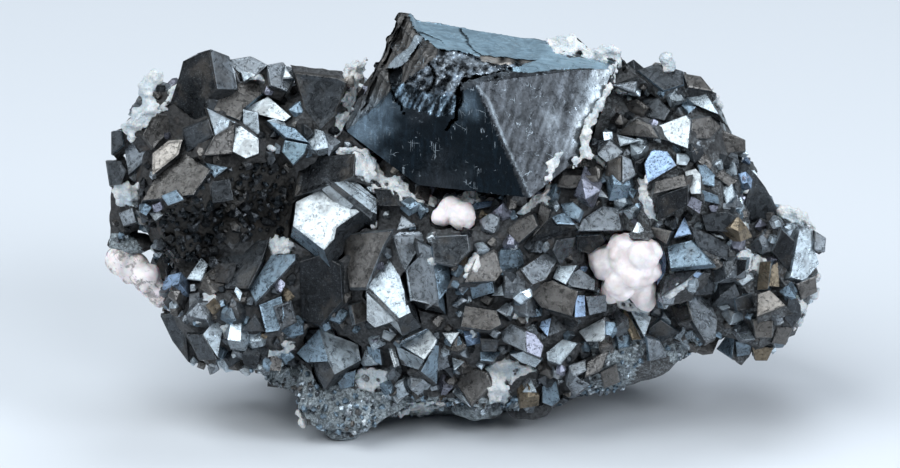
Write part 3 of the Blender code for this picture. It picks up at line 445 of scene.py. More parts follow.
# The tones of the scattered crystals in each area, as often as they come up. The steel, pale, blue and white
# ones are painted reflections of the lights, the right lobe's bright mix holds more of them, and the hollow's
# mix is dark as painted shade
CRUST_MIX = ("black",) * 2 + ("dark",) * 6 + ("brown",) * 7 + ("grey",) * 8 + ("steel",) * 8 + (
    "gold", "warm", "lilac", "lilac") + ("pale",) * 6 + ("blue", "white", "white")
ROCK_MIX = ("dark",) * 4 + ("brown",) * 2 + ("grey",) * 6 + ("steel",) * 7 + ("pale",) * 5 + ("white",) * 2
HOLLOW_SHADE_MIX = ("ink",) * 4 + ("black",) * 5 + ("slate",) * 3
DARK_MIX = CRUST_MIX + ("black",) * 10 + ("dark",) * 16 + ("brown",) * 14
BRIGHT_MIX = CRUST_MIX + ("grey",) * 6 + ("steel",) * 4 + ("pale",) * 6 + ("white",)
# The layers of scattered crystals: places tried, the gap between them, and the smallest and largest radius
LAYERS = {
    "large_crust_crystals": (8000, 4.1 * MM, (2.5 * MM, 3.8 * MM)),
    "middling_crust_crystals": (18000, 2.7 * MM, (1.6 * MM, 2.5 * MM)),
    "small_crust_crystals": (20000, 2.1 * MM, (0.85 * MM, 1.5 * MM)),
    "rock_grains": (30000, 0.95 * MM, (0.4 * MM, 0.75 * MM)),
}
CRYSTAL_KINDS = 9
GRAIN_KINDS = 5
# White granules in the gaps of the front: their spacing, and the smallest and largest radius
FRONT_GRANULES = (0.42 * MM, (0.3 * MM, 0.95 * MM))
# White granules behind: places tried, their spacing, and their radii in millimetres
BACK_PLACES = 16000
BACK_SPACING = 0.8 * MM
BACK_RADII = (0.7, 1.3)
# Bubbles of the pink masses: places tried, and how deep their middles lie, as a part of the radius
BUBBLE_PLACES = 900
BUBBLE_SINK = 0.88
# Bare rock and white mineral show behind where a noise of so many lumps to a metre passes a level
BARE_ROCK = (55, 0.18)
WHITE_BEHIND = (110, 0.45)
# A point this far before the crust lies outside it, and the photograph sees what lies this deep or less
IN_FRONT = 0.3
SKIN_DEPTH = 1.5 * MM
# A face whose normal has more than this along the line of sight is turned away from the photograph
TURNED_AWAY = 0.15
# The edges of the crystals, worn by these widths
CAP_EDGE = 0.07 * MM
CRYSTAL_EDGE = 0.05 * MM
# The longest edge of the rock's mesh
ROCK_EDGE = 1.3 * MM
# The lattices that the masses and the large crystal are melted into
SUGAR_VOXEL = 0.24 * MM
BUBBLE_VOXEL = 0.26 * MM
COARSE_VOXEL = 0.4 * MM
FINE_VOXEL = 0.33 * MM
# The layers of the large crystal's left side: the way across them in the photograph, how much they waver,
# and the period in pixels and the rise in millimetres of the thick, the middling and the thin ones
ACROSS_LAYERS = (0.914, 0.406)
LAYER_WAVER = 5
SIDE_LAYERS = ((17.0, 1.2), (6.3, 0.55), (2.9, 0.2))
TONE_PERIOD = 6.3
# The soft hollow in the middle of the dark front face: its middle, its reach and its depth
FRONT_HOLLOW = ((440, 142), (42, 34), 1.2)
# How wide the white band and the painted highlight on the ridge are, in pixels
BORDER_WIDTH = 13
RIDGE_WIDTH = 1.8

# Soft lights: the way to each from the specimen, its distance and size in metres, its watts and its colour
LIGHTS = {
    "key light": ((-0.47, -0.35, 0.81), 0.9, 0.8, 9.0, (0.90, 0.96, 1.0)),
    "top light": ((0.15, 0.35, 1.0), 0.8, 0.45, 3.0, (0.84, 0.92, 1.0)),
    "right light": ((0.9, -0.5, 0.5), 0.8, 0.3, 4.4, (0.86, 0.93, 1.0)),
    "left light": ((-0.95, -0.35, 0.2), 0.8, 0.25, 0.9, (0.86, 0.93, 1.0)),
    "front light": ((0.25, -1.0, 0.75), 0.9, 0.25, 1.4, (0.93, 0.97, 1.0)),
}
LIT_POINT = Vector((0, 0, 0.035))
SKY_COLOUR = (0.60, 0.68, 0.78, 1)
SKY_STRENGTH = 0.13
FLOOR_COLOUR = (0.62, 0.64, 0.67, 1)
CAMERA_DISTANCE = 2.5

# The outline of the specimen in the photograph, clockwise from the left: nothing scattered passes it
SILHOUETTE = (
    "104,161 110,131 122,125 130,105 137,87 148,72 158,70 183,61 212,48 227,57 251,55 265,63 286,60 "
    "297,72 340,76 344,65 361,57 371,55 382,35 395,12 412,11 436,14 460,27 481,31 506,37 546,39 559,35 "
    "573,35 592,48 602,44 615,44 626,51 647,54 656,61 667,52 674,64 683,71 701,75 714,91 722,105 722,126 "
    "747,139 757,165 767,187 778,203 801,207 813,209 817,230 828,237 827,251 822,262 819,280 817,299 "
    "808,311 796,331 786,350 770,363 755,364 715,361 677,363 656,357 650,364 632,374 624,395 614,399 "
    "570,401 548,413 536,421 519,421 510,411 497,412 479,423 467,422 446,412 419,421 392,418 376,427 "
    "361,436 344,446 334,442 314,426 301,412 286,401 281,392 261,386 224,379 199,372 185,366 170,342 "
    "157,317 159,301 138,285 113,266 106,245 110,220 108,186")


def outline_of(words):
    """The pixel corners that a line of text names."""
    return [tuple(float(number) for number in pair.split(",")) for pair in words.split()]


def inside(column, row, outline):
    """Whether a pixel lies inside an outline of pixels."""
    found = False
    for (c1, r1), (c2, r2) in zip(outline, outline[1:] + outline[:1]):
        if (r1 > row) != (r2 > row) and column < (c2 - c1) * (row - r1) / (r2 - r1) + c1:
            found = not found
    return found


def middle_of(outline):
    """The mean of an outline's corners."""
    return tuple(sum(corner[axis] for corner in outline) / len(outline) for axis in (0, 1))


def seen(column, row, depth=0.0):
    """The point at a depth on the line of sight through a pixel."""
    drop = (depth - TOE_DEPTH) * math.sin(VIEW_TILT)
    height = ((LOWEST_ROW - row) * PIXEL - drop) / math.cos(VIEW_TILT)
    return Vector(((column - MIDDLE_COLUMN) * PIXEL, depth - MIDDLE_DEPTH, height))


def pixel_of(place):
    """The pixel that the photograph sees a point at."""
    depth = place.y + MIDDLE_DEPTH
    rise = place.z * math.cos(VIEW_TILT) + (depth - TOE_DEPTH) * math.sin(VIEW_TILT)
    return place.x / PIXEL + MIDDLE_COLUMN, LOWEST_ROW - rise / PIXEL


def facing(words):
    """The way that a face looks, as a direction."""
    turn, tip = (math.radians(angle) for angle in FACINGS[words])
    return Vector((math.sin(turn) * math.cos(tip), -math.cos(turn) * math.cos(tip), math.sin(tip)))


# Modelling by hand

def deselect():
    """Leaves nothing selected or active."""
    bpy.ops.object.select_all(action="DESELECT")
    bpy.context.view_layer.objects.active = None


def take_up(thing):
    """Makes one object the selected and active one."""
    deselect()
    thing.select_set(True)
    bpy.context.view_layer.objects.active = thing


def edit(thing, select="SELECT"):
    """Opens an object for editing, with all of its faces selected or none."""
    take_up(thing)
    bpy.ops.object.mode_set(mode="EDIT")
    bpy.ops.mesh.select_mode(type="FACE")
    bpy.ops.mesh.select_all(action=select)


def stop_editing():
    """Goes back from editing to whole objects."""
    bpy.ops.object.mode_set(mode="OBJECT")


def apply_all(thing):
    """Applies every modifier of an object, in order."""
    take_up(thing)
    for step in list(thing.modifiers):
        bpy.ops.object.modifier_apply(modifier=step.name)


def add_step(thing, kind, **settings):
    """Adds a modifier and applies it at once."""
    step = thing.modifiers.new(kind.lower(), kind)
    for name, value in settings.items():
        setattr(step, name, value)
    apply_all(thing)


def roughen(thing, kind, size, depth, middle):
    """Displaces a surface by a pattern with lumps of a size; size and depth are in millimetres."""
    texture = bpy.data.textures.new(kind.lower(), kind)
    texture.noise_scale = size * MM
    add_step(thing, "DISPLACE", texture=texture, strength=depth * MM, mid_level=middle,
             texture_coords="GLOBAL")


def wear_edges(thing, width):
    """Bevels every edge by a small width."""
    edit(thing)
    bpy.ops.mesh.bevel(offset=width, offset_type="OFFSET", segments=1, affect="EDGES", clamp_overlap=True)
    stop_editing()


def stay_above_ground(thing):
    """Flattens whatever dips below the ground."""
    for vertex in thing.data.vertices:
        vertex.co.z = max(vertex.co.z, 0.0)


def trim_top(thing):
    """Lowers the corners that would stand above the photograph's outline of the specimen."""
    outline = outline_of(SILHOUETTE)
    for vertex in thing.data.vertices:
        column, row = pixel_of(vertex.co)
        crossings = [r1 + (r2 - r1) * (column - c1) / (c2 - c1)
                     for (c1, r1), (c2, r2) in zip(outline, outline[1:] + outline[:1])
                     if min(c1, c2) <= column < max(c1, c2)]
        if crossings and row < min(crossings):
            vertex.co.z -= (min(crossings) - row) * PIXEL / math.cos(VIEW_TILT)


def copy_of(node, name):
    """A copy of a CAD node, with its loose triangles joined into flat faces."""
    made = NODES[node].copy()
    made.data = made.data.copy()
    made.name = name
    for key in list(made.keys()):
        del made[key]
    bpy.context.scene.collection.objects.link(made)
    made.parent = None
    made.data.materials.clear()
    edit(made)
    bpy.ops.mesh.remove_doubles(threshold=0.001 * MM)
    bpy.ops.mesh.dissolve_limited(angle_limit=math.radians(0.6))
    stop_editing()
    trim_top(made)
    return made


def join(things, name):
    """Joins several objects in one, under a new name."""
    deselect()
    for thing in things:
        thing.select_set(True)
    bpy.context.view_layer.objects.active = things[0]
    bpy.ops.object.join()
    things[0].name = name
    things[0].data.name = name
    return things[0]


def surface_of(things):
    """A tree of the faces of several objects, for rays and nearest points."""
    whole = bmesh.new()
    for thing in things:
        whole.from_mesh(thing.data)
    tree = BVHTree.FromBMesh(whole)
    whole.free()
    return tree


def colour_faces(thing, tones):
    """Writes one tone for each face of a mesh."""
    layer = thing.data.attributes.get("tone") or thing.data.attributes.new("tone", "FLOAT_COLOR", "FACE")
    layer.data.foreach_set("color", [part for tone in tones for part in (*tone, 1.0)])


def varied(tone, chance, spread=0.3):
    """A tone a little lighter or darker, for one face."""
    factor = 1 + chance.uniform(-spread, spread)
    return tuple(part * factor for part in tone)


# Finishes

class Wire:
    """The value in a socket, so that sums on it add the nodes that work them out."""

    def __init__(self, finish, socket):
        self.finish = finish
        self.socket = socket

    def math(self, operation, first, second=None):
        """The value of a math node fed by one or two values."""
        values = (first,) if second is None else (first, second)
        return self.finish.node("ShaderNodeMath", {"operation": operation}, *values)

    def __add__(self, other):
        return self.math("ADD", self, other)

    def __radd__(self, other):
        return self.math("ADD", other, self)

    def __sub__(self, other):
        return self.math("SUBTRACT", self, other)

    def __rsub__(self, other):
        return self.math("SUBTRACT", other, self)

    def __mul__(self, other):
        return self.math("MULTIPLY", self, other)

    def __rmul__(self, other):
        return self.math("MULTIPLY", other, self)


class Finish:
    """One material, with its nodes."""

    def __init__(self, name, **uniform):
        self.material = bpy.data.materials.new(name)
        self.material.use_nodes = True
        self.tree = self.material.node_tree
        self.shader = self.tree.nodes["Principled BSDF"]
        for socket, value in uniform.items():
            self.shader.inputs[socket.replace("_", " ")].default_value = value
        metres = self.node("ShaderNodeTexCoord", {}, out="Object")
        self.place = self.node("ShaderNodeVectorMath", {"operation": "SCALE"}, metres, Scale=1 / MM)

    def node(self, kind, settings, *values, out=0, **named):
        """Adds a node: its settings first, then the values or links of its sockets."""
        made = self.tree.nodes.new(kind)
        for name, value in settings.items():
            setattr(made, name, value)
        for name, value in list(enumerate(values)) + list(named.items()):
            socket = made.inputs[name.replace("_", " ") if isinstance(name, str) else name]
            if isinstance(value, Wire):
                self.tree.links.new(value.socket, socket)
            else:
                socket.default_value = value
        return Wire(self, made.outputs[out])

    def grain(self, scale, detail=4.0, roughness=0.6, place=None, distortion=0.0):
        """Soft noise, from 0 to 1, with about scale lumps to a millimetre."""
        return self.node("ShaderNodeTexNoise", {}, Vector=place or self.place, Scale=scale, Detail=detail,
                         Roughness=roughness, Distortion=distortion)

    def cells(self, scale):
        """The distance to the nearest of scattered points."""
        return self.node("ShaderNodeTexVoronoi", {}, Vector=self.place, Scale=scale)

    def stretched(self, scale, turn=(0, 0, 0)):
        """The place on the surface, turned and stretched for streaks."""
        return self.node("ShaderNodeMapping", {}, self.place, Rotation=turn, Scale=scale)

    def scratch(self, scale, turn, density):
        """Thin long lines: where a stretched noise passes its middle."""
        value = self.grain(density, 2, 0.5, self.stretched(scale, turn))
        off = self.node("ShaderNodeMath", {"operation": "ABSOLUTE"}, value - 0.5)
        return 1 - self.between(off, 0.002, 0.009)

    def between(self, value, low, high):
        """Rises smoothly from 0 at low to 1 at high."""
        return self.node("ShaderNodeMapRange", {"interpolation_type": "SMOOTHSTEP"}, value, low, high)

    def mix(self, factor, first, second, blend="MIX"):
        """Mixes two colours."""
        made = self.tree.nodes.new("ShaderNodeMix")
        made.data_type = "RGBA"
        made.blend_type = blend
        for place, value in ((0, factor), (6, first), (7, second)):
            if isinstance(value, Wire):
                self.tree.links.new(value.socket, made.inputs[place])
            else:
                made.inputs[place].default_value = (*value, 1) if isinstance(value, tuple) else value
        return Wire(self, made.outputs[2])

    def feed(self, **values):
        """Links values to the shader's sockets."""
        for name, value in values.items():
            self.tree.links.new(value.socket, self.shader.inputs[name.replace("_", " ")])

    def bump(self, height, depth):
        """Raises the surface by a height, in millimetres at most."""
        self.feed(Normal=self.node("ShaderNodeBump", {}, Height=height, Strength=1.0, Distance=depth * MM,
                                   out="Normal"))

    def tone(self):
        """The colour written for each face or corner of the mesh."""
        return self.node("ShaderNodeAttribute", {"attribute_name": "tone"}, out="Color")


def crystal_finish():
    """Dark, half metallic crystal faces: cloudy, speckled and pitted, each in its own tone."""
    made = Finish("crystal_crust", Metallic=0.75, IOR=1.55)
    tone = made.tone()
    cloud = made.between(made.grain(0.6, 8, 0.75, distortion=0.8), 0.38, 0.62)
    colour = made.mix(0.75 * (1 - cloud), tone, (0.34, 0.34, 0.34), "MULTIPLY")
    film = made.between(made.grain(0.2, 4, 0.6), 0.52, 0.68)
    colour = made.mix(0.35 * film, colour, (0.11, 0.095, 0.08))
    dust = made.between(made.grain(4.2, 4, 0.8), 0.55, 0.66)
    colour = made.mix(0.42 * dust * cloud, colour, (0.40, 0.44, 0.47))
    blots = made.between(made.grain(1.9, 6, 0.8), 0.56, 0.63)
    patchy = made.between(made.grain(0.45, 3, 0.6), 0.40, 0.58)
    pits = (1 - made.between(made.cells(2.3), 0.12, 0.26)) * patchy
    bright = made.between(made.node("ShaderNodeSeparateColor", {}, tone, out="Green"), 0.48, 0.58)
    dark = made.node("ShaderNodeMath", {"operation": "MAXIMUM"}, 0.8 * blots, 0.9 * pits) * (1 - 0.6 * bright)
    colour = made.mix(dark, colour, (0.022, 0.024, 0.026))
    made.feed(Base_Color=colour)
    made.feed(Roughness=0.22 + 0.22 * cloud + 0.3 * dark + 0.12 * film)
    hills = made.grain(1.0, 6, 0.6)
    made.bump(hills + 0.5 * made.grain(5.0, 3, 0.6) - 0.8 * dark, 0.10)
    return made.material


def rock_finish():
    """Dark granular vein rock between the crystals, paler and peppered at the rims."""
    made = Finish("vein_rock", Metallic=0.1, IOR=1.5)
    tone = made.tone()
    size = made.grain(1.4, 7, 0.75)
    shade = made.mix(made.between(size, 0.38, 0.62), (0.25, 0.25, 0.25), (1.2, 1.2, 1.2))
    colour = made.mix(1.0, tone, shade, "MULTIPLY")
    pepper = made.between(made.grain(2.3, 4, 0.8), 0.52, 0.58)
    pale = made.node("ShaderNodeSeparateColor", {}, tone, out="Green")
    colour = made.mix(pepper * made.between(pale, 0.05, 0.12), colour, (0.42, 0.47, 0.50))
    rusty = made.between(made.grain(0.3, 4, 0.6), 0.58, 0.72)
    colour = made.mix(0.35 * rusty, colour, (0.09, 0.065, 0.05))
    made.feed(Base_Color=colour)
    made.feed(Roughness=0.42 + 0.4 * size)
    made.bump(size + 0.6 * made.cells(1.6), 0.28)
    return made.material


def large_crystal_finish():
    """The large crystal: its regions' tones, with streaks, fine scratches and pits."""
    made = Finish("large_crystal", Metallic=0.6, IOR=1.55, Specular_IOR_Level=0.12)
    tone = made.tone()
    smooth = made.node("ShaderNodeAttribute", {"attribute_name": "tone"}, out="Alpha")
    satin = made.between(made.node("ShaderNodeSeparateColor", {}, tone, out="Green"), 0.25, 0.4)
    cloud = made.between(made.grain(0.45, 8, 0.75, distortion=1.0), 0.38, 0.62)
    colour = made.mix((0.7 - 0.4 * satin) * (1 - cloud), tone, (0.40, 0.41, 0.43), "MULTIPLY")
    streaks = made.grain(1.0, 6, 0.7, made.stretched((1.1, 1.1, 0.2), (0.2, -0.35, 0.1)))
    colour = made.mix(0.5 * (1 - satin) * made.between(streaks, 0.48, 0.62), colour, (2.1, 2.15, 2.2),
                      "MULTIPLY")
    brushed = made.grain(0.9, 6, 0.7, made.stretched((0.12, 1.3, 1.3), (0, 0.2, 0.1)))
    colour = made.mix(0.6 * satin * made.between(brushed, 0.44, 0.62), colour, (0.62, 0.66, 0.70), "MULTIPLY")
    lines = made.scratch((0.07, 0.8, 0.8), (0.3, 0.6, 0.4), 0.6)
    cross = made.scratch((0.8, 0.8, 0.06), (0.5, -0.3, 0.2), 0.7)
    short = made.between(made.grain(0.4, 3, 0.6), 0.53, 0.60)
    scratches = made.node("ShaderNodeMath", {"operation": "MAXIMUM"}, lines, cross) * short
    colour = made.mix(0.7 * scratches, colour, (0.32, 0.37, 0.41))
    pits = (1 - made.between(made.cells(1.5), 0.08, 0.18)) * made.between(made.grain(0.3, 3, 0.6), 0.5, 0.62)
    colour = made.mix(0.7 * pits, colour, (0.012, 0.013, 0.015))
    specks = made.between(made.grain(3.6, 3, 0.7), 0.69, 0.75)
    colour = made.mix(0.35 * specks, colour, (0.34, 0.39, 0.43))
    made.feed(Base_Color=colour)
    made.feed(Roughness=smooth + 0.16 * cloud + 0.2 * pits)
    made.bump(made.grain(0.7, 7, 0.6) + 0.4 * streaks - 0.7 * pits + 0.3 * scratches, 0.08)
    return made.material


def quartz_finish():
    """White, bluish and cream quartz, sugary and cloudy, with dark grains in it."""
    made = Finish("quartz", Subsurface_Weight=0.15, Subsurface_Scale=0.4 * MM, IOR=1.54)
    cloud = made.between(made.grain(0.3, 6, 0.65), 0.38, 0.62)
    colour = made.mix(cloud, (0.44, 0.50, 0.54), (0.68, 0.67, 0.65))
    stain = made.between(made.grain(0.9, 7, 0.8), 0.54, 0.66)
    colour = made.mix(0.5 * stain, colour, (0.20, 0.21, 0.22))
    grains = made.between(made.grain(2.6, 4, 0.8), 0.62, 0.68)
    colour = made.mix(0.3 * grains, colour, (0.10, 0.105, 0.11))
    made.feed(Base_Color=colour)
    made.feed(Roughness=0.35 + 0.25 * cloud)
    made.bump(made.cells(2.4) + 0.9 * made.grain(2.6, 6, 0.7), 0.16)
    return made.material


def rhodochrosite_finish(name, stained):
    """Pale pink rhodochrosite with a soft milky skin, stained grey in patches."""
    made = Finish(name, Subsurface_Weight=0.35, Subsurface_Scale=0.8 * MM, IOR=1.6)
    cloud = made.between(made.grain(0.3, 5, 0.6), 0.36, 0.64)
    colour = made.mix(cloud, (0.72, 0.63, 0.62), (0.84, 0.79, 0.79))
    stain = made.between(made.grain(0.45, 7, 0.75, distortion=0.6), 0.50, 0.59)
    colour = made.mix(stained * stain, colour, (0.20, 0.185, 0.18))
    made.feed(Base_Color=colour)
    made.feed(Roughness=0.40 + 0.2 * cloud)
    made.bump(0.3 * made.cells(2.4) + made.grain(2.2, 5, 0.6), 0.06)
    return made.material


FINISHES = {
    "crust": crystal_finish(),
    "rock": rock_finish(),
    "large": large_crystal_finish(),
    "quartz": quartz_finish(),
    "rhodochrosite": rhodochrosite_finish("rhodochrosite", 0.10),
    "stained rhodochrosite": rhodochrosite_finish("stained_rhodochrosite", 0.85),
}


def hand_over(piece, finish, slot, *nodes):
    """Gives a finished piece its material and its body, and hides the CAD nodes that it stands for. The slot
    is not used.
    """
    piece.data.materials.clear()
    piece.data.materials.append(FINISHES[finish])
    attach(piece, BODY)
    if nodes:
        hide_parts(*nodes)


# The surfaces that the small pieces grow from, and those they keep clear of

CRUST = surface_of([NODES["matrix"]])
OTHERS = surface_of([NODES[name] for name in NODES if name != "matrix"])
EVERYTHING = surface_of(list(NODES.values()))


# The rock body

def rock_lump(pixel, depth, sizes):
    """A lump of rock that grows on the body."""
    bpy.ops.mesh.primitive_ico_sphere_add(subdivisions=4, radius=1, location=(0, 0, 0))
    made = bpy.context.object
    edit(made)
    bpy.ops.transform.resize(value=[size * MM for size in sizes], center_override=(0, 0, 0))
    bpy.ops.transform.translate(value=seen(*pixel, depth * MM))
    stop_editing()
    return made


def rock_body():
    """The rock and its fused crust, with a rough and granular skin."""
    made = copy_of("matrix", "crusted_rock")
    edit(made)
    bpy.ops.mesh.quads_convert_to_tris()
    stop_editing()
    made = join([made] + [rock_lump(*lump) for lump in ROCK_LUMPS], "crusted_rock")
    for _ in range(3):
        halve_long_edges(made, ROCK_EDGE)
    roughen(made, "VORONOI", 2.2, 0.5, 0.8)
    roughen(made, "CLOUDS", 0.9, 0.4, 0.8)
    stay_above_ground(made)
    tones = []
    for face in made.data.polygons:
        area = area_of(face.center, face.normal, 0)
        tones.append(ROCK_TONES.get(area, ROCK_TONES["back"]))
    colour_faces(made, tones)
    hand_over(made, "rock", "crust", "matrix")


def halve_long_edges(thing, limit):
    """Cuts in half each edge that is longer than a limit."""
    edit(thing, "DESELECT")
    bpy.ops.mesh.select_mode(type="EDGE")
    stop_editing()
    mesh = thing.data
    for edge in mesh.edges:
        first, second = (mesh.vertices[end].co for end in edge.vertices)
        edge.select = (first - second).length > limit
    bpy.ops.object.mode_set(mode="EDIT")
    bpy.ops.mesh.subdivide(number_cuts=1)
    bpy.ops.mesh.select_all(action="SELECT")
    bpy.ops.mesh.quads_convert_to_tris()
    stop_editing()


# Crystal faces at their places in the photograph

def crystal_cap(outline, middle, normal, reach, chance):
    """A crystal that shows one flat face: its corners stand on the lines of sight through an outline."""
    bpy.ops.mesh.primitive_circle_add(vertices=len(outline), radius=MM, fill_type="NGON", location=(0, 0, 0))
    made = bpy.context.object
    for vertex, (column, row) in zip(made.data.vertices, outline):
        start = seen(column, row, BEFORE_ALL)
        vertex.co = intersect_line_plane(start, start + SIGHT, middle, normal)
    inward = (SIGHT * 0.75 - normal * 0.25).normalized()
    bpy.ops.object.mode_set(mode="EDIT")
    bpy.ops.mesh.select_mode(type="FACE")
    bpy.ops.mesh.select_all(action="SELECT")
    bpy.ops.mesh.extrude_region_move(TRANSFORM_OT_translate={"value": inward * reach})
    bpy.ops.transform.resize(value=(1.1, 1.1, 1.1), center_override=middle + inward * reach)
    bpy.ops.mesh.select_all(action="SELECT")
    bpy.ops.mesh.normals_make_consistent(inside=False)
    stop_editing()
    grow_steps(made, normal, chance)
    wear_edges(made, CAP_EDGE)
    return made


def grow_steps(thing, normal, chance):
    """Thin growth steps on the faces that look along a direction."""
    for _ in range(chance.choice((0, 1, 1, 2))):
        edit(thing, "DESELECT")
        stop_editing()
        best = max(thing.data.polygons, key=lambda face: face.normal.dot(normal) * 10 + face.area * 1e3)
        best.select = True
        bpy.ops.object.mode_set(mode="EDIT")
        width = math.sqrt(best.area) * chance.uniform(0.05, 0.12)
        rise = chance.choice((-1, 1)) * chance.uniform(0.05, 0.12) * MM
        bpy.ops.mesh.inset(thickness=width, depth=rise)
        stop_editing()


def cap_tones(thing, normal, tone, chance):
    """The named tone on what faces the front, which for the pale tones is a painted reflection, painted
    highlights on the small edge faces, and darker flanks.
    """
    flank = TONES[chance.choice(("dark", "dark", "brown", "grey", "steel"))]
    front = TONES[tone]
    tones = []
    for face in thing.data.polygons:
        level = face.normal.dot(normal)
        if level > 0.85:
            tones.append(varied(front, chance, 0.08))
        # Painted highlights on the small bevel faces along the edges
        elif face.area < (0.35 * MM) ** 2 * 4 and level > 0.25:
            tones.append(tuple(part * 0.8 + 0.10 for part in front))
        else:
            tones.append(varied(flank, chance))
    colour_faces(thing, tones)


def facet_table():
    """Every named face: its table entry, the surface it lies on, its lift and its reach."""
    for table, surface, (lift, reach) in (
            (CRUST_FACES, CRUST, CRUST_FACE_DEPTHS),
            (SMALL_FACES, CRUST, SMALL_FACE_DEPTHS),
            (STEP_SHADE_AND_HIGHLIGHT, OTHERS, STEP_SHADE_AND_HIGHLIGHT_DEPTHS)):
        for entry in table.values():
            yield entry, surface, lift, reach


def named_crystals():
    """The crystals whose faces the photograph shows clearly."""
    chance = random.Random(SEED)
    made = []
    for entry, surface, lift, reach in facet_table():
        outline = outline_of(entry[-1])
        start = seen(*middle_of(outline), BEFORE_ALL)
        place, normal, _, _ = surface.ray_cast(start, SIGHT)
        if place is None:
            continue
        if len(entry) == 3:
            normal = facing(entry[1])
        cap = crystal_cap(outline, place + normal * lift, normal, reach, chance)
        cap_tones(cap, normal, entry[0], chance)
        made.append(cap)
    piece = join(made, "crystal_faces")
    hand_over(piece, "crust", "crust")


# Scattered crystals

def crystal_kind(number):
    """One of the kinds of small crystal, about two units across: an octahedron cut by a few other faces."""
    chance = random.Random(SEED + number)
    bpy.ops.mesh.primitive_uv_sphere_add(segments=4, ring_count=2, radius=1, location=(0, 0, 0))
    made = bpy.context.object
    made.name = f"kind_{number}"
    bpy.ops.object.mode_set(mode="EDIT")
    bpy.ops.mesh.select_all(action="SELECT")
    flat = chance.uniform(0.6, 1.0)
    bpy.ops.transform.resize(value=(1, chance.uniform(0.75, 1.1), flat), center_override=(0, 0, 0))
    for _ in range(1 + number % 4):
        way = Vector((chance.uniform(-1, 1), chance.uniform(-1, 1), chance.uniform(-1, 1))).normalized()
        bpy.ops.mesh.select_all(action="SELECT")
        bpy.ops.mesh.bisect(plane_co=way * chance.uniform(0.4, 0.6), plane_no=way, use_fill=True,
                            clear_outer=True)
    bpy.ops.mesh.select_all(action="SELECT")
    bpy.ops.mesh.dissolve_limited(angle_limit=math.radians(2))
    bpy.ops.mesh.select_all(action="SELECT")
    bpy.ops.mesh.bevel(offset=0.025, offset_type="OFFSET", segments=1, affect="EDGES", clamp_overlap=True)
    bpy.ops.mesh.select_all(action="SELECT")
    bpy.ops.mesh.normals_make_consistent(inside=False)
    stop_editing()
    return made


def nugget_kind(number):
    """One of the kinds of grain: a small lump of few faces."""
    chance = random.Random(SEED + 50 + number)
    bpy.ops.mesh.primitive_ico_sphere_add(subdivisions=1, radius=1, location=(0, 0, 0))
    made = bpy.context.object
    made.name = f"grain_{number}"
    bpy.ops.object.mode_set(mode="EDIT")
    bpy.ops.mesh.select_all(action="SELECT")
    bpy.ops.transform.vertex_random(offset=0.35, seed=number)
    bpy.ops.transform.resize(value=(1, chance.uniform(0.7, 1), chance.uniform(0.6, 0.9)),
                             center_override=(0, 0, 0))
    stop_editing()
    return made


def grain_kinds():
    """The few models of grain that every grain and granule is a copy of."""
    return [nugget_kind(number) for number in range(GRAIN_KINDS)]


def put_away(kinds):
    """Removes the first models of small pieces, once their copies stand in place."""
    for kind in kinds:
        bpy.data.objects.remove(kind)


def random_places(count, chance):
    """Random points all over the crust, with the way it faces there."""
    source = NODES["matrix"].data
    faces = list(source.polygons)
    areas = [face.area for face in faces]
    for face in chance.choices(faces, weights=areas, k=count):
        corners = [source.vertices[index].co for index in face.vertices]
        first, second = chance.random(), chance.random()
        if first + second > 1:
            first, second = 1 - first, 1 - second
        yield corners[0] + (corners[1] - corners[0]) * first + (corners[2] - corners[0]) * second, face.normal


class Spacing:
    """Points that keep a distance from one another."""

    def __init__(self, gap):
        self.gap = gap
        self.cells = {}

    def take(self, place):
        """Takes a point if none is too near, and says whether it did."""
        key = tuple(int(part // self.gap) for part in place)
        around = [(i, j, k) for i in (-1, 0, 1) for j in (-1, 0, 1) for k in (-1, 0, 1)]
        for step in around:
            near = self.cells.get(tuple(a + b for a, b in zip(key, step)), ())
            if any((place - other).length < self.gap for other in near):
                return False
        self.cells.setdefault(key, []).append(place)
        return True


def marked_pixels(outlines):
    """The pixels inside any of some outlines."""
    found = set()
    for outline in outlines:
        columns, rows = zip(*outline)
        for column in range(int(min(columns)), int(max(columns)) + 1):
            for row in range(int(min(rows)), int(max(rows)) + 1):
                if inside(column + 0.5, row + 0.5, outline):
                    found.add((column, row))
    return found


def outlines_in(table):
    """The outlines of a table, whose entries are lines of pixels or end in one."""
    return [outline_of(entry[-1] if isinstance(entry, tuple) else entry) for entry in table.values()]


FACE_PIXELS = marked_pixels(outlines_in(CRUST_FACES) + outlines_in(SMALL_FACES))
ROCK_PIXELS = marked_pixels(outlines_in(ROCK_RIMS))
WHITE_PIXELS = marked_pixels(outlines_in(WHITE_PATCHES))
HOLLOW_PIXELS = marked_pixels([outline_of(HOLLOW)])


def seen_at(place, normal):
    """The pixel at which the photograph sees a point of the crust, if it does."""
    if normal.dot(SIGHT) > TURNED_AWAY:
        return None
    start = place - SIGHT * IN_FRONT
    hit, _, _, distance = CRUST.ray_cast(start, SIGHT)
    if hit is None or distance < IN_FRONT - SKIN_DEPTH:
        return None
    column, row = pixel_of(place)
    return int(column), int(row)


def pixels_around(pixel, radius):
    """A pixel and seven around it, most of the way to a crystal's rim."""
    reach = int(0.8 * radius / PIXEL)
    ways = [(0, 0)] + [(round(reach * math.cos(turn)), round(reach * math.sin(turn))) for turn in range(7)]
    return [(pixel[0] + c, pixel[1] + r) for c, r in ways]


def passes(place, patches):
    """Whether the noise of some patches passes its level at a place."""
    scale, level = patches
    return noise.noise(place * scale) > level


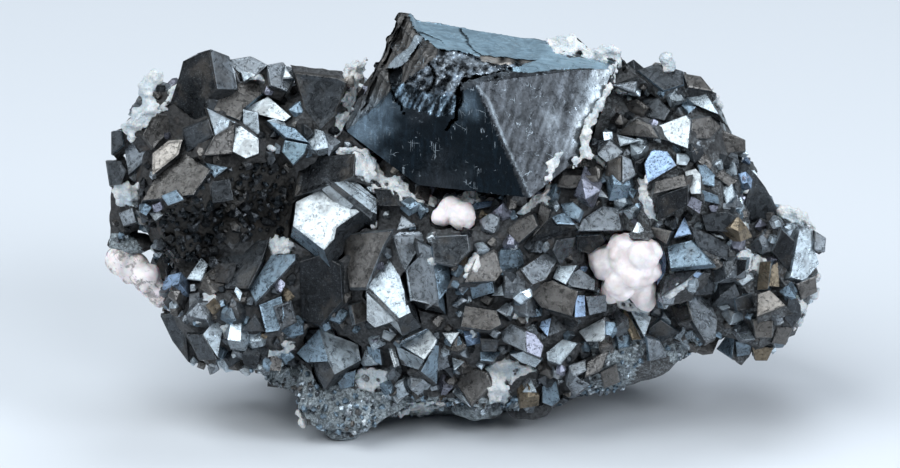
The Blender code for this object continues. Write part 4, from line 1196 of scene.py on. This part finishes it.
def area_of(place, normal, radius):
    """What grows at a place of the crust: a named face, white mineral, rock, the hollow, or crystals."""
    pixel = seen_at(place, normal)
    if pixel is None and place.y > 0:
        return "rock" if passes(place, BARE_ROCK) else "back"
    if pixel is None:
        pixel = tuple(int(part) for part in pixel_of(place))
    around = pixels_around(pixel, radius)
    if sum(one in FACE_PIXELS for one in around) > 1:
        return "face"
    if sum(one in WHITE_PIXELS for one in around) > 1:
        return "white"
    if pixel in ROCK_PIXELS:
        return "rock"
    if sum(one in HOLLOW_PIXELS for one in around) > 3:
        return "hollow"
    if pixel[0] < LEFT_LOBE_CORNER[0] and pixel[1] < LEFT_LOBE_CORNER[1]:
        return "left lobe"
    return "right lobe" if pixel[0] > RIGHT_LOBE_COLUMN else "crystals"


def random_turn(chance):
    """A turn by chance about all three axes."""
    return Euler([chance.uniform(0, math.tau) for _ in range(3)]).to_matrix()


def scattered(count, gap, radii, mixes, chance):
    """Spots for crystals of some radii: place, turn, radius and tone."""
    spacing = Spacing(gap)
    silhouette = outline_of(SILHOUETTE)
    for place, normal in random_places(count, chance):
        radius = chance.uniform(*radii)
        turn = random_turn(chance)
        if place.z < radius * 1.05:
            continue
        mix = mixes.get(area_of(place, normal, radius))
        if mix is None or not spacing.take(place):
            continue
        _, _, _, distance = OTHERS.find_nearest(place)
        column, row = pixel_of(place)
        spread = 0.85 * radius / PIXEL
        corners = ((column + c * spread, row + r * spread) for c, r in ((1, 0), (-1, 0), (0, 1), (0, -1)))
        if distance < radius * 0.9 or not all(inside(*corner, silhouette) for corner in corners):
            continue
        yield place + normal * radius * chance.uniform(-0.25, 0.12), turn, radius, chance.choice(mix)


def crowd(name, kinds, spots, chance):
    """One piece of many small crystals: a copy of one of the kinds at each spot."""
    whole = bmesh.new()
    tones = []
    for place, turn, radius, tone in spots:
        shape = chance.choice(kinds).data.copy()
        shape.transform(Matrix.Translation(place) @ turn.to_4x4() @ Matrix.Scale(radius, 4))
        whole.from_mesh(shape)
        tones.extend(varied(TONES[tone], chance, 0.5) for _ in shape.polygons)
        bpy.data.meshes.remove(shape)
    mesh = bpy.data.meshes.new(name)
    whole.to_mesh(mesh)
    whole.free()
    made = bpy.data.objects.new(name, mesh)
    bpy.context.scene.collection.objects.link(made)
    colour_faces(made, tones)
    return made


def small_crystals():
    """Crystals of three sizes over the whole crust, and grains on the rock."""
    chance = random.Random(SEED)
    kinds = [crystal_kind(number) for number in range(CRYSTAL_KINDS)]
    grains = grain_kinds()
    crust = {"crystals": CRUST_MIX, "back": CRUST_MIX, "right lobe": BRIGHT_MIX}
    fine = {**crust, "left lobe": DARK_MIX, "hollow": HOLLOW_SHADE_MIX}
    rough = {"rock": ROCK_MIX, "hollow": HOLLOW_SHADE_MIX}
    mixes = {"small_crust_crystals": fine, "rock_grains": rough}
    for name, (count, gap, radii) in LAYERS.items():
        spots = scattered(count, gap, radii, mixes.get(name, crust), chance)
        shapes = grains if name == "rock_grains" else kinds
        hand_over(crowd(name, shapes, spots, chance), "crust", "crust")
    put_away(kinds + grains)


def granules_on(surface, outlines, gap, radii, chance):
    """Spots for granules that fill outlines raggedly, on whatever surface the photograph sees there."""
    spacing = Spacing(gap)
    spots = []
    for column, row in sorted(marked_pixels(outlines)):
        start = seen(column + chance.random(), row + chance.random(), BEFORE_ALL)
        place, normal, _, _ = surface.ray_cast(start, SIGHT)
        if place is None or noise.noise(Vector((column, row, 6)) * 0.16) < -0.22 or not spacing.take(place):
            continue
        radius = radii[0] + (radii[1] - radii[0]) * chance.random() ** 2
        spots.append((place + normal * radius * 0.1, random_turn(chance), radius, "white"))
    return spots


def sugary_skin(thing):
    """Melts overlapping lumps into one mass with a fine uneven skin."""
    add_step(thing, "REMESH", mode="VOXEL", voxel_size=SUGAR_VOXEL, use_smooth_shade=True)
    add_step(thing, "SMOOTH", factor=0.5, iterations=7)
    roughen(thing, "CLOUDS", 2.2, 0.8, 0.6)
    roughen(thing, "VORONOI", 0.9, 0.22, 0.6)
    stay_above_ground(thing)


def white_granules():
    """Sugary white mineral in the gaps, in front where the photograph shows it and in a few places behind."""
    chance = random.Random(SEED + 1)
    grains = grain_kinds()
    spots = granules_on(CRUST, outlines_in(WHITE_PATCHES), *FRONT_GRANULES, chance)
    spacing = Spacing(BACK_SPACING)
    for place, normal in random_places(BACK_PLACES, chance):
        if seen_at(place, normal) or place.z < 2 * MM or not passes(place, WHITE_BEHIND):
            continue
        if spacing.take(place):
            radius = chance.uniform(*BACK_RADII) * MM
            spots.append((place + normal * radius * 0.6, random_turn(chance), radius, "white"))
    made = crowd("white_granules", grains, spots, chance)
    put_away(grains)
    sugary_skin(made)
    hand_over(made, "quartz", "quartz")


# The crystals that stand by themselves

def patch_tone(patches, place, otherwise):
    """The tone of the patch that a point lies in, as the photograph sees it."""
    column, row = pixel_of(place)
    for tone, words in patches.values():
        if inside(column, row, outline_of(words)):
            return TONES[tone]
    return TONES[otherwise]


def separate_crystal(node):
    """A crystal of the crust with its own bevelled edges and growth steps."""
    chance = random.Random(SEED + len(node))
    made = copy_of(node, node + "_faces")
    front = -SIGHT
    for _ in range(2):
        edit(made, "DESELECT")
        stop_editing()
        shown = [face for face in made.data.polygons if face.normal.dot(front) > 0.3]
        best = max(shown, key=lambda face: face.area)
        best.select = True
        bpy.ops.object.mode_set(mode="EDIT")
        bpy.ops.mesh.inset(thickness=chance.uniform(0.2, 0.5) * MM, depth=chance.choice((-1, 1)) * 0.08 * MM)
        stop_editing()
    tones = []
    for face in made.data.polygons:
        tone = patch_tone(CRYSTAL_PATCHES[node], face.center, "dark")
        faces_front = face.normal.dot(front) > 0.25
        tones.append(varied(tone if faces_front else TONES["dark"], chance, 0.1))
    colour_faces(made, tones)
    wear_edges(made, CRYSTAL_EDGE)
    hand_over(made, "crust", "alabandite", node)


# The large crystal

def along(line, column, row):
    """How far a pixel lies from a line of pixels, and how far along the line, from 0 to 1."""
    best, where = 1e9, 0.0
    for number, (start, end) in enumerate(zip(line, line[1:])):
        step = Vector(end) - Vector(start)
        part = min(1.0, max(0.0, (Vector((column, row)) - Vector(start)).dot(step) / step.length_squared))
        distance = (Vector(start) + step * part - Vector((column, row))).length
        if distance < best:
            best, where = distance, (number + part) / (len(line) - 1)
    return best, where


def planar_front(column, row):
    """Where the line of sight through a pixel enters the flat faces of the large crystal."""
    start = seen(column, row, BEFORE_ALL)
    deepest = 0.0
    for corners in LARGE_FRONT.values():
        first, second, third = (seen(c, r, depth * MM) for c, r, depth in corners)
        normal = (second - first).cross(third - first)
        deepest = max(deepest, (first - start).dot(normal) / SIGHT.dot(normal))
    return start + SIGHT * deepest


def close_solid_crevice(thing):
    """Fills the plain crevice of the CAD crystal, which a ragged one takes the place of."""
    for vertex in thing.data.vertices:
        column, row = pixel_of(vertex.co)
        if along(CREVICE, column, row)[0] > CREVICE_REACH:
            continue
        front = planar_front(column, row)
        if 0 < (vertex.co - front).dot(SIGHT) < CREVICE_DEPTH:
            vertex.co = front
    add_step(thing, "REMESH", mode="VOXEL", voxel_size=FINE_VOXEL, use_smooth_shade=False)


def crack_depth(column, row):
    """How deep the cracks of the large crystal are at a pixel, in millimetres."""
    place = Vector((column, row, 0))
    depth = 0.0
    across = column + noise.noise(place * 0.09) * 3.0
    down = row + noise.noise(place * 0.13 + Vector((7, 0, 0))) * 2.5
    for line, width, deep in CRACKS:
        distance, part = along(line, across, down)
        reach = width * (0.35 + 0.65 * math.sin(math.pi * min(1, part + 0.12)))
        if distance < reach:
            depth = max(depth, deep * (1 - (distance / reach) ** 2))
    return depth


def across_layers(column, row):
    """How far across the layers of the laminated side a pixel lies, in pixels."""
    waver = LAYER_WAVER * noise.noise(Vector((column, row, 0)) * 0.03)
    return column * ACROSS_LAYERS[0] + row * ACROSS_LAYERS[1] + waver


def relief(region, column, row):
    """How deep the surface of the large crystal lies below its flat faces at a pixel, in millimetres."""
    place = Vector((column, row, 0))
    depth = crack_depth(column, row)
    if region == "cavity":
        depth += 3.2 + noise.noise(place * 0.2)
    elif region == "bright ledge":
        depth -= 0.5
    elif region in ("left side", "shoulder"):
        across = across_layers(column, row)
        for period, rise in SIDE_LAYERS:
            depth += rise * (across / period % 1.0) * (1.0 if region == "left side" else 0.6)
        depth += 0.25 * noise.fractal(place * 0.12, 1.0, 2.0, 4)
    elif region == "broken zone":
        lumps = noise.voronoi(place * 0.10)[0]
        depth += 2.2 * lumps[0] + 0.9 * noise.fractal(place * 0.16, 0.8, 2.0, 5) + 0.4
    elif region == "shiny hollow":
        ridges = abs(noise.noise(Vector((column * 0.22 + row * 0.08, row * 0.05, 3))))
        depth += 1.3 * ridges + 0.35 * noise.fractal(place * 0.1, 0.9, 2.0, 4) + 0.4
    elif region == "rusty ledge":
        depth += 0.7 + 0.3 * noise.noise(place * 0.3)
    elif region == "dark front":
        (c, r), (wide, high), deep = FRONT_HOLLOW
        hollow = deep * math.exp(-((column - c) / wide) ** 2 - ((row - r) / high) ** 2)
        depth += hollow + 0.12 * noise.fractal(place * 0.05, 1.0, 2.0, 4)
    elif region == "right face":
        streak = noise.noise(Vector((column * 0.10 + row * 0.03, row * 0.012 - column * 0.01, 5)))
        depth += 0.16 * streak + 0.1 * noise.fractal(place * 0.06, 1.0, 2.0, 4)
    elif region == "satin top":
        depth += 0.12 * noise.noise(Vector((column * 0.02, row * 0.16, 9)))
    return depth


def large_tone(region, column, row):
    """The colour and roughness of the large crystal at a pixel, with painted sheens and glints, a painted
    highlight on the ridge and painted shade in the cracks.
    """
    tone, smooth, _ = LARGE_REGIONS[region]
    place = Vector((column, row, 4))
    colour = Vector(TONES[tone])
    # Painted sheens: reflections of the lights laid into the colour
    for centre, radius, name, strength in PAINTED_SHEENS.values():
        reach = (Vector((column, row)) - Vector(centre)).length / radius
        patchy = 1 + 0.5 * noise.noise(place * 0.08)
        colour = colour.lerp(Vector(TONES[name]), strength * math.exp(-(reach * patchy) ** 2))
    if region == "broken zone":
        # Painted glints of the lights on the crumpled broken zone
        painted_glint = noise.fractal(place * 0.14, 0.8, 2.0, 4)
        colour = colour * max(0.10, 1.1 + 3.2 * painted_glint)
    elif region == "shiny hollow":
        # Painted glints, in streaks, on the shiny hollow
        painted_glint = noise.fractal(Vector((column * 0.22 + row * 0.12, row * 0.05, 4)), 0.8, 2.0, 4)
        colour = colour * max(0.06, 0.35 + 2.2 * painted_glint)
    elif region in ("left side", "shoulder"):
        colour = colour * (1.3 - across_layers(column, row) / TONE_PERIOD % 1.0)
    elif region == "rusty ledge":
        colour = colour * (0.6 + 1.2 * noise.noise(place * 0.12))
    elif region == "right face":
        streak = noise.fractal(Vector((column * 0.20 + row * 0.07, row * 0.04, 8)), 0.8, 2.0, 5)
        colour = colour * max(0.30, 0.54 + 0.45 * streak)
        border = along(PALE_BORDER, column + 5 * noise.noise(place * 0.1), row)[0]
        whiteness = 0.6 * max(0.0, 1 - border / BORDER_WIDTH) * (0.7 + 0.8 * streak)
        colour = colour.lerp(Vector(TONES["white"]), whiteness)
    # A painted highlight along the ridge between the two front faces
    ridge_highlight = max(0.0, 1 - along(RIDGE, column, row)[0] / RIDGE_WIDTH)
    colour = colour.lerp(Vector(TONES["pale"]), 0.2 * ridge_highlight)
    # Painted shade inside the cracks
    if crack_depth(column, row) > 0.1:
        colour = colour * 0.15
    return (*colour, smooth)


def large_crystal():
    """The large crystal: flat faces, a satin top, a laminated side and a crumpled broken zone."""
    made = copy_of("large_crystal", "large_crystal_faces")
    add_step(made, "REMESH", mode="VOXEL", voxel_size=COARSE_VOXEL, use_smooth_shade=False)
    close_solid_crevice(made)
    regions = {name: outline_of(words) for name, (_, _, words) in LARGE_REGIONS.items()}
    places = [vertex.co.copy() for vertex in made.data.vertices]
    normals = [vertex.normal.copy() for vertex in made.data.vertices]
    tones = []
    for number, (place, normal) in enumerate(zip(places, normals)):
        column, row = pixel_of(place)
        warp = Vector((column, row, 2)) * 0.12
        warped = (column + 2.0 * noise.noise(warp), row + 2.0 * noise.noise(warp + Vector((0, 0, 9))))
        region = None
        if normal.dot(SIGHT) < 0.12:
            region = next((name for name, outline in regions.items() if inside(*warped, outline)), None)
        if region is None:
            places[number] = place + normal * noise.fractal(place * 180, 0.9, 2.0, 4) * 0.35 * MM
            tones.append((*TONES["dark"], 0.3))
            continue
        if region in ("dark front", "right face"):
            flat = planar_front(column, row)
            if (flat - place).length < 0.8 * MM:
                place = flat
        places[number] = place + SIGHT * relief(region, column, row) * MM
        tones.append(large_tone(region, column, row))
    made.data.vertices.foreach_set("co", [part for place in places for part in place])
    made.data.update()
    layer = made.data.attributes.new("tone", "FLOAT_COLOR", "POINT")
    layer.data.foreach_set("color", [part for tone in tones for part in tone])
    hand_over(made, "large", "alabandite", "large_crystal")


# Pink and white masses

def bubble_kind():
    """A round bubble for the botryoidal masses."""
    bpy.ops.mesh.primitive_ico_sphere_add(subdivisions=3, radius=1, location=(0, 0, 0))
    made = bpy.context.object
    made.name = "bubble"
    return made


def bubbles_on(source, gap, radii, chance):
    """Spots for lumps all over a solid, sunk in it so that they bulge out of its faces by little."""
    spacing = Spacing(gap)
    faces = list(source.data.polygons)
    spots = []
    for face in chance.choices(faces, weights=[face.area for face in faces], k=BUBBLE_PLACES):
        corners = [source.data.vertices[index].co for index in face.vertices]
        first, second = sorted((chance.random(), chance.random()))
        place = corners[0] * first + corners[1] * (second - first) + corners[2] * (1 - second)
        if spacing.take(place):
            radius = radii[0] + (radii[1] - radii[0]) * chance.random() ** 2
            spots.append((place - face.normal * radius * BUBBLE_SINK, random_turn(chance), radius, "white"))
    return spots


def granular_mass(node, slot):
    """A mass of its own mineral: its CAD shape drawn in, with granules or round bubbles over it."""
    chance = random.Random(SEED + len(node))
    made = copy_of(node, node + "_skin")
    drawn_in, gap, radii = MASS_SHAPES[slot]
    edit(made)
    bpy.ops.transform.shrink_fatten(value=drawn_in)
    stop_editing()
    round_ones = slot == "rhodochrosite"
    grains = [bubble_kind()] if round_ones else grain_kinds()
    if node in MASS_OUTLINES:
        spots = granules_on(EVERYTHING, outlines_in(MASS_OUTLINES[node]), gap, radii, chance)
    else:
        spots = bubbles_on(NODES[node], gap, radii, chance)
    made = join([made, crowd("granules", grains, spots, chance)], node + "_skin")
    put_away(grains)
    if round_ones:
        add_step(made, "REMESH", mode="VOXEL", voxel_size=BUBBLE_VOXEL, use_smooth_shade=True)
        add_step(made, "SMOOTH", factor=0.6, iterations=16)
        roughen(made, "CLOUDS", 2.6, 0.8, 0.5)
        stay_above_ground(made)
    else:
        sugary_skin(made)
    hand_over(made, "stained rhodochrosite" if node == STAINED_LUMP else slot, slot, node)


def pale_plate():
    """The flat pale plate at the far right."""
    made = copy_of("pale_plate", "pale_plate_faces")
    wear_edges(made, CRYSTAL_EDGE)
    colour_faces(made, [TONES["pale"]] * len(made.data.polygons))
    hand_over(made, "crust", "crust", "pale_plate")


# The stage

def floor():
    """A plain pale floor, a hair below the rock."""
    bpy.ops.mesh.primitive_plane_add(size=6, location=(0, 0, -0.02 * MM))
    made = bpy.context.object
    made.name = "floor"
    plain = bpy.data.materials.new("floor")
    plain.use_nodes = True
    shader = plain.node_tree.nodes["Principled BSDF"]
    shader.inputs["Base Color"].default_value = FLOOR_COLOUR
    shader.inputs["Roughness"].default_value = 0.75
    made.data.materials.append(plain)


def softbox(name, way, distance, size, watts, colour):
    """A square soft light that shines at the specimen from a direction."""
    lamp = bpy.data.lights.new(name, "AREA")
    lamp.shape = "SQUARE"
    lamp.size = size
    lamp.energy = watts
    lamp.color = colour
    stand = bpy.data.objects.new(name, lamp)
    bpy.context.scene.collection.objects.link(stand)
    direction = Vector(way).normalized()
    stand.location = LIT_POINT + direction * distance
    stand.rotation_euler = (-direction).to_track_quat("-Z", "Y").to_euler()


def lights():
    """The soft lights, and a dim bluish sky that fills the shadows."""
    for name, settings in LIGHTS.items():
        softbox(name, *settings)
    world = bpy.data.worlds.new("studio")
    world.use_nodes = True
    sky = world.node_tree.nodes["Background"]
    sky.inputs["Color"].default_value = SKY_COLOUR
    sky.inputs["Strength"].default_value = SKY_STRENGTH
    bpy.context.scene.world = world


def camera():
    """Looks at the specimen as the photograph does, through a long lens."""
    lens = bpy.data.cameras.new("camera")
    lens.sensor_width = 36
    lens.lens = lens.sensor_width * CAMERA_DISTANCE / (PHOTO_SIZE[0] * PIXEL)
    lens.clip_start = 0.05
    stand = bpy.data.objects.new("camera", lens)
    bpy.context.scene.collection.objects.link(stand)
    stand.location = seen(PHOTO_SIZE[0] / 2, PHOTO_SIZE[1] / 2) - SIGHT * CAMERA_DISTANCE
    stand.rotation_euler = SIGHT.to_track_quat("-Z", "Y").to_euler()
    bpy.context.scene.camera = stand


rock_body()
named_crystals()
small_crystals()
white_granules()
for node in CRYSTAL_PATCHES:
    separate_crystal(node)
large_crystal()
pale_plate()
for node in sorted(NODES):
    for mineral in MASS_SHAPES:
        if node.startswith(mineral):
            granular_mass(node, mineral)
floor()
lights()
camera()
# Colours come out as they are lit, without the look of film
bpy.context.scene.view_settings.view_transform = "Standard"
